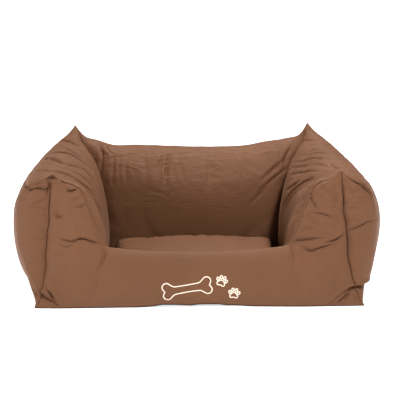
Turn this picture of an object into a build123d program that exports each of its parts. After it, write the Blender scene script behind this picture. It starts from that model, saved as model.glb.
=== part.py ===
from build123d import *
import math
import os
from collections import namedtuple

# A bolster bed for a dog: four stuffed walls round a low entrance, a thin padded floor and a loose
# cushion with a zip. Millimetres. The origin is on the ground under the middle of the base. +Z is up,
# the entrance is on the -Y side, and +X is to the right of someone who stands in front of it.

# Cloth and clearances
cloth = 1.2                    # coated polyester, shared by every cut panel
seam_gap = 0.4                 # between two cut edges that one seam joins
fill_gap = 0.5                 # between a cloth panel and the stuffing behind it
rest_gap = 0.3                 # between the loose cushion and the floor that it lies on
overrun = 30.0                 # how far a cutting solid passes what it cuts

# Base
base_width = 794.0             # corner to corner along the entrance
base_depth = 624.0
side_bow = 13.0                # how far the middle of an edge swells past the line of its corners
front_bow = 6.0
rear_bow = 12.0
grip_dot_height = 1.0
grip_dot_radius = 4.0
grip_dot_pitch = 52.0
grip_dot_margin = 30.0         # kept free along the edge of the base
wadding_height = 12.0
wadding_margin = 5.0           # from the foot of the walls to the wadding

# Walls, measured at the foot and up to the seam that joins their outer and inner panels
side_foot = 158.0
front_foot = 122.0
rear_foot = 160.0
corner_foot = 150.0            # from a side edge of the base to the inner corner of the well
sill_height = 124.0            # middle of the entrance
sill_end_height = 141.0
wing_width = 109.0             # of a wing beside the entrance, at its top
slant_run = 62.0               # how far each side of the entrance leans out, from the sill to the wing
wing_height = 290.0
front_corner_height = 315.0
side_front_height = 304.0
side_rear_height = 330.0
rear_height = 290.0
rear_corner_height = 362.0     # the pointed ears

# Cushion
cushion_side_gap = 22.0        # from the cushion's corners to the foot of the walls
cushion_front_gap = 17.0       # to the foot of the front wall
cushion_rear_gap = 18.0
border_height = 30.0
top_crown = 34.0
bottom_crown = 10.0
flat_cut = 0.5                 # taken off the lowest part of the crown, where the cushion lies
draw_in = 9.0                  # how far the middle of a side is drawn in from its corners
crown_overreach = 14.0         # how far the crowns run past the sides that trim them

# Zip in the rear side of the cushion
zip_end_gap = 45.0             # from a cushion corner to the end of the zip
zip_corner = 26.0              # from a cushion corner to where the side with the zip runs straight
zip_slot_height = 15.0
tape_thickness = 0.6
tape_overlap = 4.0             # of a tape behind the border
tape_gap = 0.3                 # between a tape and the border that laps it
coil_height = 2.0
coil_depth = 1.8
coil_channel = 1.4             # between the two coils, where the slider's post runs
slider_length = 11.0
slider_height = 9.0
slider_plate = 1.1
slider_gap = 0.35              # between the slider and everything that it runs on
post_length = 3.0
stop_length = 4.0

# One cross-section of a wall, seen along the wall. "in" goes from the outer edge of the base towards the
# well and "up" from the ground. The outer panel runs from the foot over a low and a high belly point to
# the seam. The inner panel runs from the seam past a crown and a shoulder point to the inner foot. The
# four points in between pull the curves towards them. Shares along "in" are of the wall's foot there on
# the inner panel and of the seam's height on the outer one. All shares along "up" are of that height.
Profile = namedtuple("Profile", "seam_up seam_in_share belly_shares inner_shares")
Station = namedtuple("Station", "outer inner profile")

front_corner = Profile(front_corner_height, 0.32, (0.12, 0.19, 0.13, 0.63), (0.78, 0.93, 1.38, 0.75))
rear_corner = Profile(rear_corner_height, 0.333, (0.10, 0.19, 0.12, 0.65), (0.60, 0.95, 0.92, 0.69))
side_front = Profile(side_front_height, 0.085, (-0.22, 0.21, -0.31, 0.92), (0.38, 1.13, 1.45, 1.01))
side_rear = Profile(side_rear_height, 0.10, (-0.19, 0.21, -0.26, 0.92), (0.38, 1.13, 1.43, 0.95))
rear_middle = Profile(rear_height, 0.125, (-0.10, 0.22, -0.18, 0.95), (0.44, 1.12, 1.24, 0.90))
sill_middle = Profile(sill_height, 0.18, (-0.12, 0.20, -0.15, 0.85), (0.43, 1.12, 1.14, 0.92))
sill_end = Profile(sill_end_height, 0.17, (-0.11, 0.20, -0.12, 0.85), (0.43, 1.10, 1.16, 0.92))
slant_height = (sill_end_height + wing_height) / 2
slant_middle = Profile(slant_height, 0.17, (-0.06, 0.20, -0.08, 0.85), (0.50, 1.05, 1.26, 0.86))
wing = Profile(wing_height, 0.20, (-0.02, 0.20, -0.03, 0.80), (0.58, 1.02, 1.34, 0.80))

# Places along the walls. Each row of a side wall holds its place as a share of the edge, how far the shape
# there has turned from the corner's to the wall's own, and how far that has turned from front to rear.
side_front_rows_shares = ((0.0, 0.0, 0.0), (0.05, 0.55, 0.0), (0.12, 0.88, 0.0), (0.22, 1.0, 0.15),
                          (0.36, 1.0, 0.33), (0.52, 1.0, 0.52))
side_rear_rows_shares = ((0.70, 1.0, 0.75), (0.84, 0.80, 1.0), (0.93, 0.45, 1.0), (1.0, 0.0, 1.0))
# Each row of half the rear wall holds its place from the middle, and how far the shape has turned from
# the middle's to the corner's.
rear_rows_shares = ((0.0, 0.0), (0.34, 0.08), (0.62, 0.24), (0.79, 0.40), (0.89, 0.57), (0.955, 0.78),
                    (1.0, 1.0))
sill_place_share = 0.62        # of half the sill, where it starts to rise
sill_rise_share = 0.33         # how far the shape has turned there to that of the sill's end
slant_place_share = 0.45       # of the slant, from the sill to the wing
wing_place_share = 0.45        # of the rest, from the slant to the corner
wing_blend_share = 0.5
slant_inner_shares = (0.85, 0.91, 0.955, 0.98)
crown_place_shares = (-1.0, -0.75, -0.4, 0.0, 0.4, 0.75, 1.0)
crown_height_shares = (0.10, 0.62, 0.93, 1.0, 0.93, 0.62, 0.10)

# Worked out from the sizes above
foot_level = grip_dot_height + cloth
half_width = base_width / 2
half_depth = base_depth / 2
well_half = half_width - corner_foot
well_front = front_foot - half_depth
well_rear = half_depth - rear_foot
floor_level = foot_level + wadding_height + cloth
cushion_level = floor_level + rest_gap
border_level = cushion_level + bottom_crown - flat_cut
crown_level = border_level + border_height
wing_half = half_width - wing_width
sill_half = wing_half - slant_run
cushion_half = well_half - cushion_side_gap
zip_length = 2 * (cushion_half - zip_end_gap)
cushion_front = well_front + cushion_front_gap
cushion_rear = well_rear - cushion_rear_gap
zip_face = cushion_rear - draw_in          # outer face of the border along the zip
zip_level = border_level + border_height / 2
tape_face = zip_face - cloth - tape_gap    # rear face of the tapes
tape_height = (zip_slot_height - 2 * coil_height - coil_channel) / 2 + tape_overlap
slider_depth = coil_depth + 2 * slider_gap + 2 * slider_plate


def blend(first, second, share):
    """What lies at this share of the way from the first to the second: a number, or a row of them."""
    if isinstance(first, (int, float)):
        return first + (second - first) * share
    return [blend(a, b, share) for a, b in zip(first, second)]


def blend_profiles(first, second, share):
    return Profile(*blend(first, second, share))


def edge_arc(start, end, bow):
    """An edge of the base: a flat arc that bows out to the right of the way from start to end."""
    along = (end - start).normalized()
    outwards = Vector(along.Y, -along.X, 0)
    return ThreePointArc(start, (start + end) / 2 + outwards * bow, end)


def corner(half, depth):
    return Vector(half, depth, 0)


# The foot lines of the walls. The front one runs from left to right, and the rear one back again.
outer_front = edge_arc(corner(-half_width, -half_depth), corner(half_width, -half_depth), front_bow)
outer_right = edge_arc(corner(half_width, -half_depth), corner(half_width, half_depth), side_bow)
outer_rear = edge_arc(corner(half_width, half_depth), corner(-half_width, half_depth), rear_bow)
outer_left = edge_arc(corner(-half_width, half_depth), corner(-half_width, -half_depth), side_bow)
inner_front = Line(corner(-well_half, well_front), corner(well_half, well_front))
inner_rear = Line(corner(well_half, well_rear), corner(-well_half, well_rear))
inner_right = edge_arc(corner(well_half, well_front), corner(well_half, well_rear),
                       corner_foot + side_bow - side_foot)


outer_steps = 4                # both are even, because two steps make an arc
inner_steps = 6


def bezier(points, share):
    rest = 1 - share
    weights = (rest ** 3, 3 * rest ** 2 * share, 3 * rest * share ** 2, share ** 3)
    return sum((point * weight for point, weight in zip(points, weights)), Vector(0, 0, 0))


def section_points(station):
    """Points of the outer and inner panel at a station, in the section's own plane: X inwards, Y up."""
    foot = (station.inner - station.outer).length
    height = station.profile.seam_up
    low_in, low_up, high_in, high_up = station.profile.belly_shares
    crown_in, crown_up, shoulder_in, shoulder_up = station.profile.inner_shares
    start = Vector(0, foot_level, 0)
    seam = Vector(station.profile.seam_in_share * foot, height, 0)
    end = Vector(foot, foot_level, 0)
    low = Vector(low_in * height, low_up * height, 0)
    high = Vector(high_in * height, high_up * height, 0)
    crown = Vector(crown_in * foot, crown_up * height, 0)
    shoulder = Vector(shoulder_in * foot, shoulder_up * height, 0)
    outer = [bezier((start, low, high, seam), step / outer_steps) for step in range(outer_steps + 1)]
    inner = [bezier((seam, crown, shoulder, end), step / inner_steps) for step in range(inner_steps + 1)]
    return outer, inner


def turned_in(points, step):
    """The same points moved by one step to the right of their way, square to it."""
    moved = []
    for index, point in enumerate(points):
        before = points[max(index - 1, 0)]
        after = points[min(index + 1, len(points) - 1)]
        way = (after - before).normalized()
        moved.append(point + Vector(way.Y, -way.X, 0) * step)
    return moved


def seam_corner(outer, inner, step):
    """Where both panels, moved in by one step, meet under the seam."""
    way_up = (outer[-1] - outer[-2]).normalized()
    way_on = (inner[1] - inner[0]).normalized()
    first = Vector(way_up.Y, -way_up.X, 0)
    second = Vector(way_on.Y, -way_on.X, 0)
    middle = (first + second).normalized()
    return outer[-1] + middle * (step / middle.dot(first))


def placed(points, station):
    inwards = (station.inner - station.outer).normalized()
    return [station.outer + inwards * point.X + Vector(0, 0, point.Y) for point in points]


def arcs(points):
    return [ThreePointArc(*points[index:index + 3]) for index in range(0, len(points) - 2, 2)]


def strip_wire(near, far, station):
    """The outline of a thin panel between two rows of points."""
    near = placed(near, station)
    far = placed(far, station)
    return Wire(arcs(near) + [Line(near[-1], far[-1])] + arcs(far[::-1]) + [Line(far[0], near[0])])


def level_ends(points, first, last):
    """Puts the ends of a row of points on the foot level again."""
    points = list(points)
    if first:
        points[0] = Vector(points[0].X, foot_level, 0)
    if last:
        points[-1] = Vector(points[-1].X, foot_level, 0)
    return points


def outer_wire(station):
    outer, inner = section_points(station)
    back = level_ends(turned_in(outer, cloth), True, False)
    back[-1] = seam_corner(outer, inner, cloth)
    drop = (outer[-1] - outer[-2]).normalized() * seam_gap / 2
    front = outer[:-1] + [outer[-1] - drop]
    back[-1] = back[-1] - drop
    return strip_wire(front, back, station)


def inner_wire(station):
    outer, inner = section_points(station)
    back = level_ends(turned_in(inner, cloth), False, True)
    back[0] = seam_corner(outer, inner, cloth)
    shift = (inner[1] - inner[0]).normalized() * seam_gap / 2
    front = [inner[0] + shift] + inner[1:]
    back[0] = back[0] + shift
    return strip_wire(front, back, station)


def filling_wire(station):
    step = cloth + fill_gap
    outer, inner = section_points(station)
    top = seam_corner(outer, inner, step)
    outer = level_ends(turned_in(outer, step), True, False)
    inner = level_ends(turned_in(inner, step), False, True)
    outer[-1] = top
    inner[0] = top
    outer = placed(outer, station)
    inner = placed(inner, station)
    return Wire(arcs(outer) + arcs(inner) + [Line(inner[-1], outer[0])])


def mitred(stations):
    """Moves the end stations of a wall back from the planes of its corners by half a seam gap."""
    ends = []
    for end, neighbour in ((stations[0], stations[1]), (stations[-1], stations[-2])):
        along = end.inner - end.outer
        back = Vector(-along.Y, along.X, 0).normalized()
        if back.dot(neighbour.outer - end.outer) < 0:
            back = back * -1
        step = back * (seam_gap / 2)
        ends.append(Station(end.outer + step, end.inner + step, end.profile))
    return [ends[0]] + list(stations[1:-1]) + [ends[1]]


def wall(stations, ruled):
    """The outer panel, inner panel and stuffing of one wall."""
    stations = mitred(stations)
    return [Solid.make_loft([wire(station) for station in stations], ruled)
            for wire in (outer_wire, inner_wire, filling_wire)]


def side_stations():
    stations = []
    for corner_profile, rows in ((front_corner, side_front_rows_shares), (rear_corner, side_rear_rows_shares)):
        for place, turned, rearwards in rows:
            own = blend_profiles(side_front, side_rear, rearwards)
            profile = blend_profiles(corner_profile, own, turned)
            stations.append(Station(outer_right @ place, inner_right @ place, profile))
    return stations


def rear_stations():
    stations = []
    left_half = [(-place, turned) for place, turned in rear_rows_shares[:0:-1]]
    for place, turned in left_half + list(rear_rows_shares):
        along = (1 + place) / 2
        profile = blend_profiles(rear_middle, rear_corner, turned)
        stations.append(Station(outer_rear @ along, inner_rear @ along, profile))
    return stations


def front_half():
    """Places along the outer and inner foot, as shares of half of each, with the profile there."""
    slant = blend(sill_half, wing_half, slant_place_share)
    shoulder = blend(wing_half, half_width, wing_place_share)
    outer_shares = [x / half_width for x in (sill_half, slant, wing_half, shoulder)]
    profiles = (sill_end, slant_middle, wing, blend_profiles(wing, front_corner, wing_blend_share))
    rising = sill_half * sill_place_share
    rows = [(0.0, 0.0, sill_middle)]
    risen = blend_profiles(sill_middle, sill_end, sill_rise_share)
    rows.append((rising / half_width, rising / well_half, risen))
    rows += zip(outer_shares, slant_inner_shares, profiles)
    rows.append((1.0, 1.0, front_corner))
    return rows


def front_stations():
    rows = front_half()
    both = [(-outer, -inner, profile) for outer, inner, profile in rows[:0:-1]] + rows
    return [Station(outer_front @ ((1 + outer) / 2), inner_front @ ((1 + inner) / 2), profile)
            for outer, inner, profile in both]


def base_cover():
    """The black underside: one cloth with rows of grip dots, one of them under the middle of the bed."""
    outline = Wire([outer_front, outer_right, outer_rear, outer_left])
    sheet = extrude(Face(outline.moved(Location((0, 0, grip_dot_height)))), cloth, dir=(0, 0, 1))
    across = int((half_width - grip_dot_margin) / grip_dot_pitch)
    deep = int((half_depth - grip_dot_margin) / grip_dot_pitch)
    dot = Cylinder(grip_dot_radius, grip_dot_height, align=(Align.CENTER, Align.CENTER, Align.MIN))
    places = GridLocations(grip_dot_pitch, grip_dot_pitch, 2 * across + 1, 2 * deep + 1)
    return sheet.fuse(*[place * dot for place in places])


def well_slab(margin, low, height):
    """A slab inside the foot of the walls."""
    width = 2 * (well_half - margin)
    depth = well_rear - well_front - 2 * margin
    middle = (well_rear + well_front) / 2
    slab = Box(width, depth, height, align=(Align.CENTER, Align.CENTER, Align.MIN))
    return Location((0, middle, low)) * slab


def cushion_outline(inset):
    """Seen from above: sides drawn in between the corners, and a straight stretch for the zip behind."""
    side = cushion_half - inset
    front = cushion_front + inset
    rear = cushion_rear - inset
    middle = (front + rear) / 2
    straight = side - zip_corner
    corners = [Vector(-side, front, 0), Vector(side, front, 0), Vector(side, rear, 0), Vector(-side, rear, 0)]
    return Wire([
        ThreePointArc(corners[0], Vector(0, front + draw_in, 0), corners[1]),
        ThreePointArc(corners[1], Vector(side - draw_in, middle, 0), corners[2]),
        Line(corners[2], Vector(straight, rear - draw_in, 0)),
        Line(Vector(straight, rear - draw_in, 0), Vector(-straight, rear - draw_in, 0)),
        Line(Vector(-straight, rear - draw_in, 0), corners[3]),
        ThreePointArc(corners[3], Vector(draw_in - side, middle, 0), corners[0]),
    ])


def cushion_block(inset, low, height):
    return extrude(Face(cushion_outline(inset).moved(Location((0, 0, low)))), height, dir=(0, 0, 1))


def crown_form(level, crown, inset, upwards):
    """A domed block whose curved face bulges from this level, up or down, along the whole cushion."""
    reach = cushion_half + crown_overreach
    front = cushion_front - crown_overreach
    rear = cushion_rear + crown_overreach
    root = level - upwards * (crown_overreach + inset)
    wires = []
    for place_share, height_share in zip(crown_place_shares, crown_height_shares):
        x = place_share * reach
        edge = level - upwards * inset
        top = edge + upwards * crown * height_share
        wires.append(Wire([
            Line((x, rear, edge), (x, rear, root)),
            Line((x, rear, root), (x, front, root)),
            Line((x, front, root), (x, front, edge)),
            ThreePointArc((x, front, edge), (x, (front + rear) / 2, top), (x, rear, edge)),
        ]))
    return Solid.make_loft(wires)


def cushion():
    """The cover's top, bottom and border, and the stuffing, each with its own drawn-in outline."""
    parts = {}
    above = cushion_block(0, crown_level, top_crown + overrun)
    below = cushion_block(0, border_level - bottom_crown, bottom_crown)
    top = crown_form(crown_level, top_crown, 0, 1)
    bottom = crown_form(border_level, bottom_crown, 0, -1)
    flat = well_slab(-overrun, cushion_level - overrun, overrun)
    flat_inside = well_slab(-overrun, cushion_level - overrun, overrun + cloth)
    parts["cushion_top_panel"] = (top & above) - crown_form(crown_level, top_crown, cloth, 1)
    parts["cushion_bottom_panel"] = ((bottom & below) - flat
                                     - (crown_form(border_level, bottom_crown, cloth, -1) - flat_inside))
    border = cushion_block(0, border_level + seam_gap, border_height - 2 * seam_gap)
    border -= cushion_block(cloth, border_level - overrun, border_height + 2 * overrun)
    parts["cushion_border"] = border - zip_slot()
    step = cloth + fill_gap
    body = cushion_block(step, cushion_level + step, crown_level + top_crown - cushion_level)
    body &= crown_form(crown_level, top_crown, step, 1) + crown_form(border_level, bottom_crown, step, -1)
    parts["cushion_filling"] = body - zip_pocket()
    return parts


def block(low, high):
    """A box between two corners."""
    size = [b - a for a, b in zip(low, high)]
    return Location(tuple(low)) * Box(*size, align=(Align.MIN, Align.MIN, Align.MIN))


def zip_slot():
    half = zip_length / 2
    return block((-half, zip_face - overrun, zip_level - zip_slot_height / 2),
                 (half, zip_face + overrun, zip_level + zip_slot_height / 2))


def zip_pocket():
    """The room that the stuffing leaves behind the zip."""
    half = zip_length / 2 + tape_overlap + fill_gap
    height = zip_slot_height / 2 + tape_overlap + fill_gap
    depth = slider_depth + 2 * cloth + 2 * fill_gap
    return block((-half, zip_face - depth, zip_level - height), (half, zip_face + overrun, zip_level + height))


def zip_parts():
    parts = {}
    half = zip_length / 2
    coil_face = tape_face + (coil_depth - tape_thickness) / 2
    for name, side in (("upper", 1), ("lower", -1)):
        inner_edge = side * (coil_channel / 2 + coil_height)
        outer_edge = inner_edge + side * tape_height
        low, high = sorted((inner_edge, outer_edge))
        parts["zip_tape_" + name] = block(
            (-half - tape_overlap, tape_face - tape_thickness, zip_level + low),
            (half + tape_overlap, tape_face, zip_level + high))
        low, high = sorted((side * coil_channel / 2, inner_edge))
        parts["zip_coil_" + name] = block(
            (-half, coil_face - coil_depth, zip_level + low), (half, coil_face, zip_level + high))
    for name, side in (("left", -1), ("right", 1)):
        low, high = sorted((side * half, side * (half - stop_length)))
        stop_half = coil_channel / 2 + coil_height
        parts["zip_stop_" + name] = block(
            (low, coil_face, zip_level - stop_half), (high, coil_face + slider_plate, zip_level + stop_half))
    parts["zip_slider"] = zip_slider(coil_face)
    return parts


def zip_slider(coil_face):
    """Two plates, one on each side of the coils, joined by the post that runs between them."""
    start = stop_length + slider_gap - zip_length / 2
    end = start + slider_length
    outer_low = coil_face + slider_gap
    inner_high = coil_face - coil_depth - slider_gap
    half = slider_height / 2
    post_half = coil_channel / 2 - slider_gap
    slider = block((start, outer_low, zip_level - half), (end, outer_low + slider_plate, zip_level + half))
    slider += block((start, inner_high - slider_plate, zip_level - half), (end, inner_high, zip_level + half))
    middle = (start + end) / 2
    slider += block((middle - post_length / 2, inner_high - slider_plate / 2, zip_level - post_half),
                    (middle + post_length / 2, outer_low + slider_plate / 2, zip_level + post_half))
    return slider


def walls():
    parts = {}
    kinds = ("outer_panel", "inner_panel", "filling")
    for name, solids in (("front", wall(front_stations(), True)), ("rear", wall(rear_stations(), True)),
                         ("right", wall(side_stations(), False))):
        for kind, solid in zip(kinds, solids):
            parts[name + "_" + kind] = solid
    for kind in kinds:
        parts["left_" + kind] = mirror(parts["right_" + kind], about=Plane.YZ)
    return parts


def bed():
    parts = {"base_cover": base_cover()}
    parts["base_wadding"] = well_slab(wadding_margin, foot_level, wadding_height)
    parts["floor_panel"] = well_slab(wadding_margin, foot_level + wadding_height, cloth)
    parts.update(walls())
    parts.update(cushion())
    parts.update(zip_parts())
    return parts


os.makedirs("parts", exist_ok=True)
for name, solid in bed().items():
    export_step(solid, "parts/" + name + ".step")
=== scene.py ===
import math
from functools import cache

import bmesh
import bpy
import numpy as np
from bpy.props import FloatProperty, FloatVectorProperty, IntProperty, PointerProperty
from mathutils import Matrix, Vector
from mathutils.bvhtree import BVHTree


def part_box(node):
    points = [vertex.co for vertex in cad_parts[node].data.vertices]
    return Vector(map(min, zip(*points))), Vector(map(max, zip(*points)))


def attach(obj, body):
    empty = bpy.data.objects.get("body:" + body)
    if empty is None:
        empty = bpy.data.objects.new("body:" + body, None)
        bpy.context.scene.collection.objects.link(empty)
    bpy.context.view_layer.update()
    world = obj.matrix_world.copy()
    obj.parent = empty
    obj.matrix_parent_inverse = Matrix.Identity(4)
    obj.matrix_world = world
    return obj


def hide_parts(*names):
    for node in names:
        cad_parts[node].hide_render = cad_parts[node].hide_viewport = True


bl_info = {
    "name": "Bolster dog bed",
    "version": (1, 0, 0),
    "blender": (4, 5, 0),
    "location": "View3D > Sidebar > Dog bed",
    "description": "Sewn cover, stuffing, loose cushion, zip, print and studio of a bolster dog bed",
    "category": "Object",
}

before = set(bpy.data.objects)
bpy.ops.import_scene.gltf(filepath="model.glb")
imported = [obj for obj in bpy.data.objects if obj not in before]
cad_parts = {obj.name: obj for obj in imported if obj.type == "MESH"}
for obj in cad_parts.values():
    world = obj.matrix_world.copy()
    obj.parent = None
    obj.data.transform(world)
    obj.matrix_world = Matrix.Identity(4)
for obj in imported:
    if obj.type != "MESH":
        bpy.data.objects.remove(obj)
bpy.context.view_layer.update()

MM = 0.001
BED = "bed"
CUSHION = "cushion"
PICTURE_SIZE = 400             # width and height of the photograph, in pixels
made = {}                      # what one operator leaves for the next: grids of points and materials


# Sizes of the sewn walls, in metres. The feet are the construction's, and the profiles follow the photograph
# more closely than its sections do.

BASE_HALF = np.array([0.397, 0.312])
SIDE_BOW, FRONT_BOW, REAR_BOW = 0.013, 0.006, 0.012
WELL_HALF = 0.247
WELL_FRONT, WELL_REAR = -0.190, 0.152
INNER_SIDE_BOW = 0.005
FOOT_Z = float(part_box("base_cover")[1][2])
SIDES = ("front", "right", "rear", "left")
OUTER_BOWS = (FRONT_BOW, SIDE_BOW, REAR_BOW, SIDE_BOW)
INNER_BOWS = (0, INNER_SIDE_BOW, 0, INNER_SIDE_BOW)

# A profile holds the height of the seam, the seam's place as a share of the foot's depth, two points that
# pull the outer panel, as shares of that height, and two that pull the inner one, as shares of the foot's
# depth and of the height.
FRONT_CORNER = np.array([0.315, 0.32, 0.12, 0.19, 0.13, 0.63, 0.78, 0.93, 1.38, 0.75])
REAR_CORNER = np.array([0.362, 0.333, 0.10, 0.19, 0.12, 0.65, 0.60, 0.95, 0.92, 0.69])
SIDE_FRONT = np.array([0.285, -0.16, -0.25, 0.22, -0.22, 0.95, 0.26, 1.26, 1.20, 1.075])
SIDE_REAR = np.array([0.318, -0.04, -0.22, 0.22, -0.20, 0.95, 0.30, 1.205, 1.20, 0.986])
REAR_MIDDLE = np.array([0.296, 0.125, -0.10, 0.22, -0.18, 0.95, 0.44, 1.12, 1.24, 0.90])
SILL_MIDDLE = np.array([0.129, 0.20, -0.12, 0.20, -0.06, 0.87, 0.40, 1.00, 1.08, 0.86])
SILL_END = np.array([0.145, 0.19, -0.11, 0.20, -0.05, 0.87, 0.40, 1.00, 1.10, 0.86])
SLANT_MIDDLE = np.array([0.2155, 0.17, -0.06, 0.20, 0.03, 0.80, 0.45, 0.97, 1.16, 0.80])
WING = np.array([0.290, 0.20, -0.04, 0.22, 0.02, 0.80, 0.48, 0.97, 1.22, 0.76])

# Rows of a wall: place along the outer foot, place along the inner foot, profile
SIDE_ROWS = [
    (0.0, FRONT_CORNER),
    (0.05, FRONT_CORNER + 0.55 * (SIDE_FRONT - FRONT_CORNER)),
    (0.12, FRONT_CORNER + 0.88 * (SIDE_FRONT - FRONT_CORNER)),
    (0.22, SIDE_FRONT + 0.15 * (SIDE_REAR - SIDE_FRONT)),
    (0.36, SIDE_FRONT + 0.33 * (SIDE_REAR - SIDE_FRONT)),
    (0.52, SIDE_FRONT + 0.52 * (SIDE_REAR - SIDE_FRONT)),
    (0.70, SIDE_FRONT + 0.75 * (SIDE_REAR - SIDE_FRONT)),
    (0.84, REAR_CORNER + 0.80 * (SIDE_REAR - REAR_CORNER)),
    (0.93, REAR_CORNER + 0.45 * (SIDE_REAR - REAR_CORNER)),
    (1.0, REAR_CORNER),
]
# Half the rear wall: place from its middle, and the share of the corner's profile in the row
REAR_HALF_ROWS = [(0.0, 0.0), (0.34, 0.07), (0.60, 0.20), (0.72, 0.32), (0.81, 0.46), (0.89, 0.54),
                  (0.95, 0.73), (1.0, 1.0)]
FRONT_HALF_ROWS = [
    (0.0, 0.0, SILL_MIDDLE),
    (0.353, 0.567, SILL_MIDDLE + 0.33 * (SILL_END - SILL_MIDDLE)),
    (0.569, 0.85, SILL_END),
    (0.640, 0.91, SLANT_MIDDLE),
    (0.725, 0.955, WING),
    (0.849, 0.98, WING + 0.5 * (FRONT_CORNER - WING)),
    (1.0, 1.0, FRONT_CORNER),
]

# Folds that the photograph shows: width, depth of the valley and height of the ridge on its left, in
# millimetres, then where it runs in the photograph, in pixels from its top left corner.
LEFT_SIDE_FOLDS = [
    (2.6, 6.0, 5.0, ((24, 195), (30, 189), (38, 188), (45, 190), (49, 189))),
    (2.4, 6.0, 0.0, ((50.5, 179), (50, 185), (48.5, 191), (48.5, 196))),
    (3.2, 1.8, 0.8, ((27, 211), (34, 205), (42, 202), (48, 200))),
    (3.0, 1.5, 0.6, ((36, 208), (43, 208), (49, 210))),
    (2.6, 1.5, 0.5, ((40, 226), (43, 230), (47, 233))),
    (3.0, 1.2, 0.5, ((33, 239), (40, 240), (46, 241))),
    (3.0, 1.0, 0.4, ((26, 258), (33, 264), (41, 268))),
]
LEFT_WING_FOLDS = [
    (1.8, 4.2, 2.6, ((66, 189), (71, 191), (75, 189.5), (79, 187))),
    (2.4, 1.4, 0.5, ((57, 192), (62, 192.5), (69, 191))),
    (2.6, 2.0, 0.5, ((70, 199.5), (77, 199), (83, 196))),
    (2.8, 2.0, 0.5, ((74, 208), (80, 207), (86, 203))),
    (3.0, 2.4, 0.6, ((53, 212), (57, 217), (64, 216))),
    (2.1, 3.4, 2.2, ((60, 239), (66, 240), (73, 241.5), (79, 239), (86, 239.5), (93, 242), (101, 243))),
    (2.2, 1.8, 0.8, ((58, 246), (66, 247), (76, 245))),
    (4.0, 1.6, 0.6, ((56, 252), (61, 256), (67, 256))),
    (3.4, 2.6, 0.8, ((105, 251), (104, 258), (101, 265), (97, 271))),
    (2.6, 5.2, 2.2, ((46, 288), (50, 294), (56, 302))),
    (6.0, 1.6, 1.2, ((56, 226), (57, 208), (56, 190))),
    (7.0, 1.6, 1.0, ((92, 300), (98, 284), (104, 266))),
    (6.0, 1.2, 0.8, ((58, 286), (66, 272), (72, 256))),
    (5.0, 1.2, 0.8, ((84, 232), (76, 220), (72, 206))),
]
RIGHT_WING_FOLDS = [
    (2.0, 3.2, 0.6, ((312, 201), (309.5, 195), (312, 188), (316, 182))),
    (1.8, 2.6, 0.8, ((311, 200), (314, 204), (318, 209))),
    (1.8, 1.2, 0.4, ((317, 181), (320, 185), (325, 188))),
    (1.8, 2.2, 0.8, ((309, 213.5), (315, 213), (322, 214), (329, 216), (335, 218.5))),
    (1.9, 1.0, 0.5, ((305, 213), (310, 217), (316, 221))),
    (2.4, 1.3, 0.5, ((309, 221), (317, 224), (324, 227))),
    (2.4, 1.6, 0.5, ((336, 191), (337.5, 198), (337, 204))),
    (2.2, 3.2, 2.0, ((290, 242.5), (297, 240.5), (306, 239.5), (315, 238.5), (324, 239.5))),
    (2.2, 4.0, 2.2, ((326, 242), (333, 241), (340, 238), (345, 233))),
    (2.2, 3.6, 2.0, ((301, 247), (307, 249.5), (312, 250.5), (320, 248), (329, 245.5), (337, 243))),
    (2.4, 1.4, 0.6, ((304, 252), (314, 252.5), (326, 250.5))),
    (3.4, 2.0, 0.6, ((293, 264), (292, 257), (290, 250))),
    (4.0, 1.2, 0.5, ((318, 278), (326, 275), (333, 270))),
    (2.4, 3.4, 1.6, ((339, 302), (345, 299), (350, 294), (353, 290))),
    (2.6, 2.4, 1.4, ((331, 307), (340, 305.5), (348, 302))),
    (5.0, 1.6, 1.4, ((337, 228), (336, 208), (335, 184))),
    (7.0, 1.6, 1.0, ((304, 300), (300, 284), (294, 264))),
    (6.0, 1.4, 1.0, ((332, 296), (336, 276), (340, 256))),
    (2.0, 1.2, 0.6, ((300, 232), (306, 228), (314, 228))),
]
RIGHT_SIDE_FOLDS = [
    (2.2, 2.8, 1.4, ((346, 231.5), (354, 229), (362, 225.5), (369, 221.5), (377, 218))),
    (1.8, 3.4, 2.6, ((351, 179), (358, 182.5), (366, 188.5), (373, 197))),
    (3.0, 1.4, 0.5, ((347, 212), (353, 209), (360, 208))),
    (3.0, 1.2, 0.5, ((348, 196), (354, 193), (358, 193))),
    (3.0, 1.2, 0.5, ((350, 259), (358, 256), (366, 253))),
]
LEFT_TOP_FOLDS = [
    (2.2, 3.6, 3.0, ((40, 158), (50, 158.5), (57, 160.5), (64, 163.5), (74, 166), (84, 170))),
    (2.0, 4.0, 2.4, ((52, 153), (61, 152.5), (68, 153), (75, 156), (83, 162), (89, 169))),
    (1.8, 3.6, 2.4, ((62, 148), (70, 150), (78, 155), (86, 163), (92, 172), (96, 182))),
    (1.6, 2.6, 1.4, ((50, 165), (60, 167), (70, 170), (82, 176), (92, 186))),
    (1.6, 2.4, 1.2, ((66, 160), (76, 164), (86, 171), (94, 181))),
    (2.2, 3.4, 2.0, ((36, 171), (46, 170.5), (56, 171), (66, 174), (78, 180))),
    (2.0, 4.0, 1.8, ((60, 140.5), (67, 141), (74, 143), (80, 147))),
    (1.6, 2.4, 1.0, ((72, 178), (80, 182), (88, 188), (96, 197))),
    (2.0, 3.0, 1.5, ((102, 214), (97, 204), (90, 194), (83, 187))),
]
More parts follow.
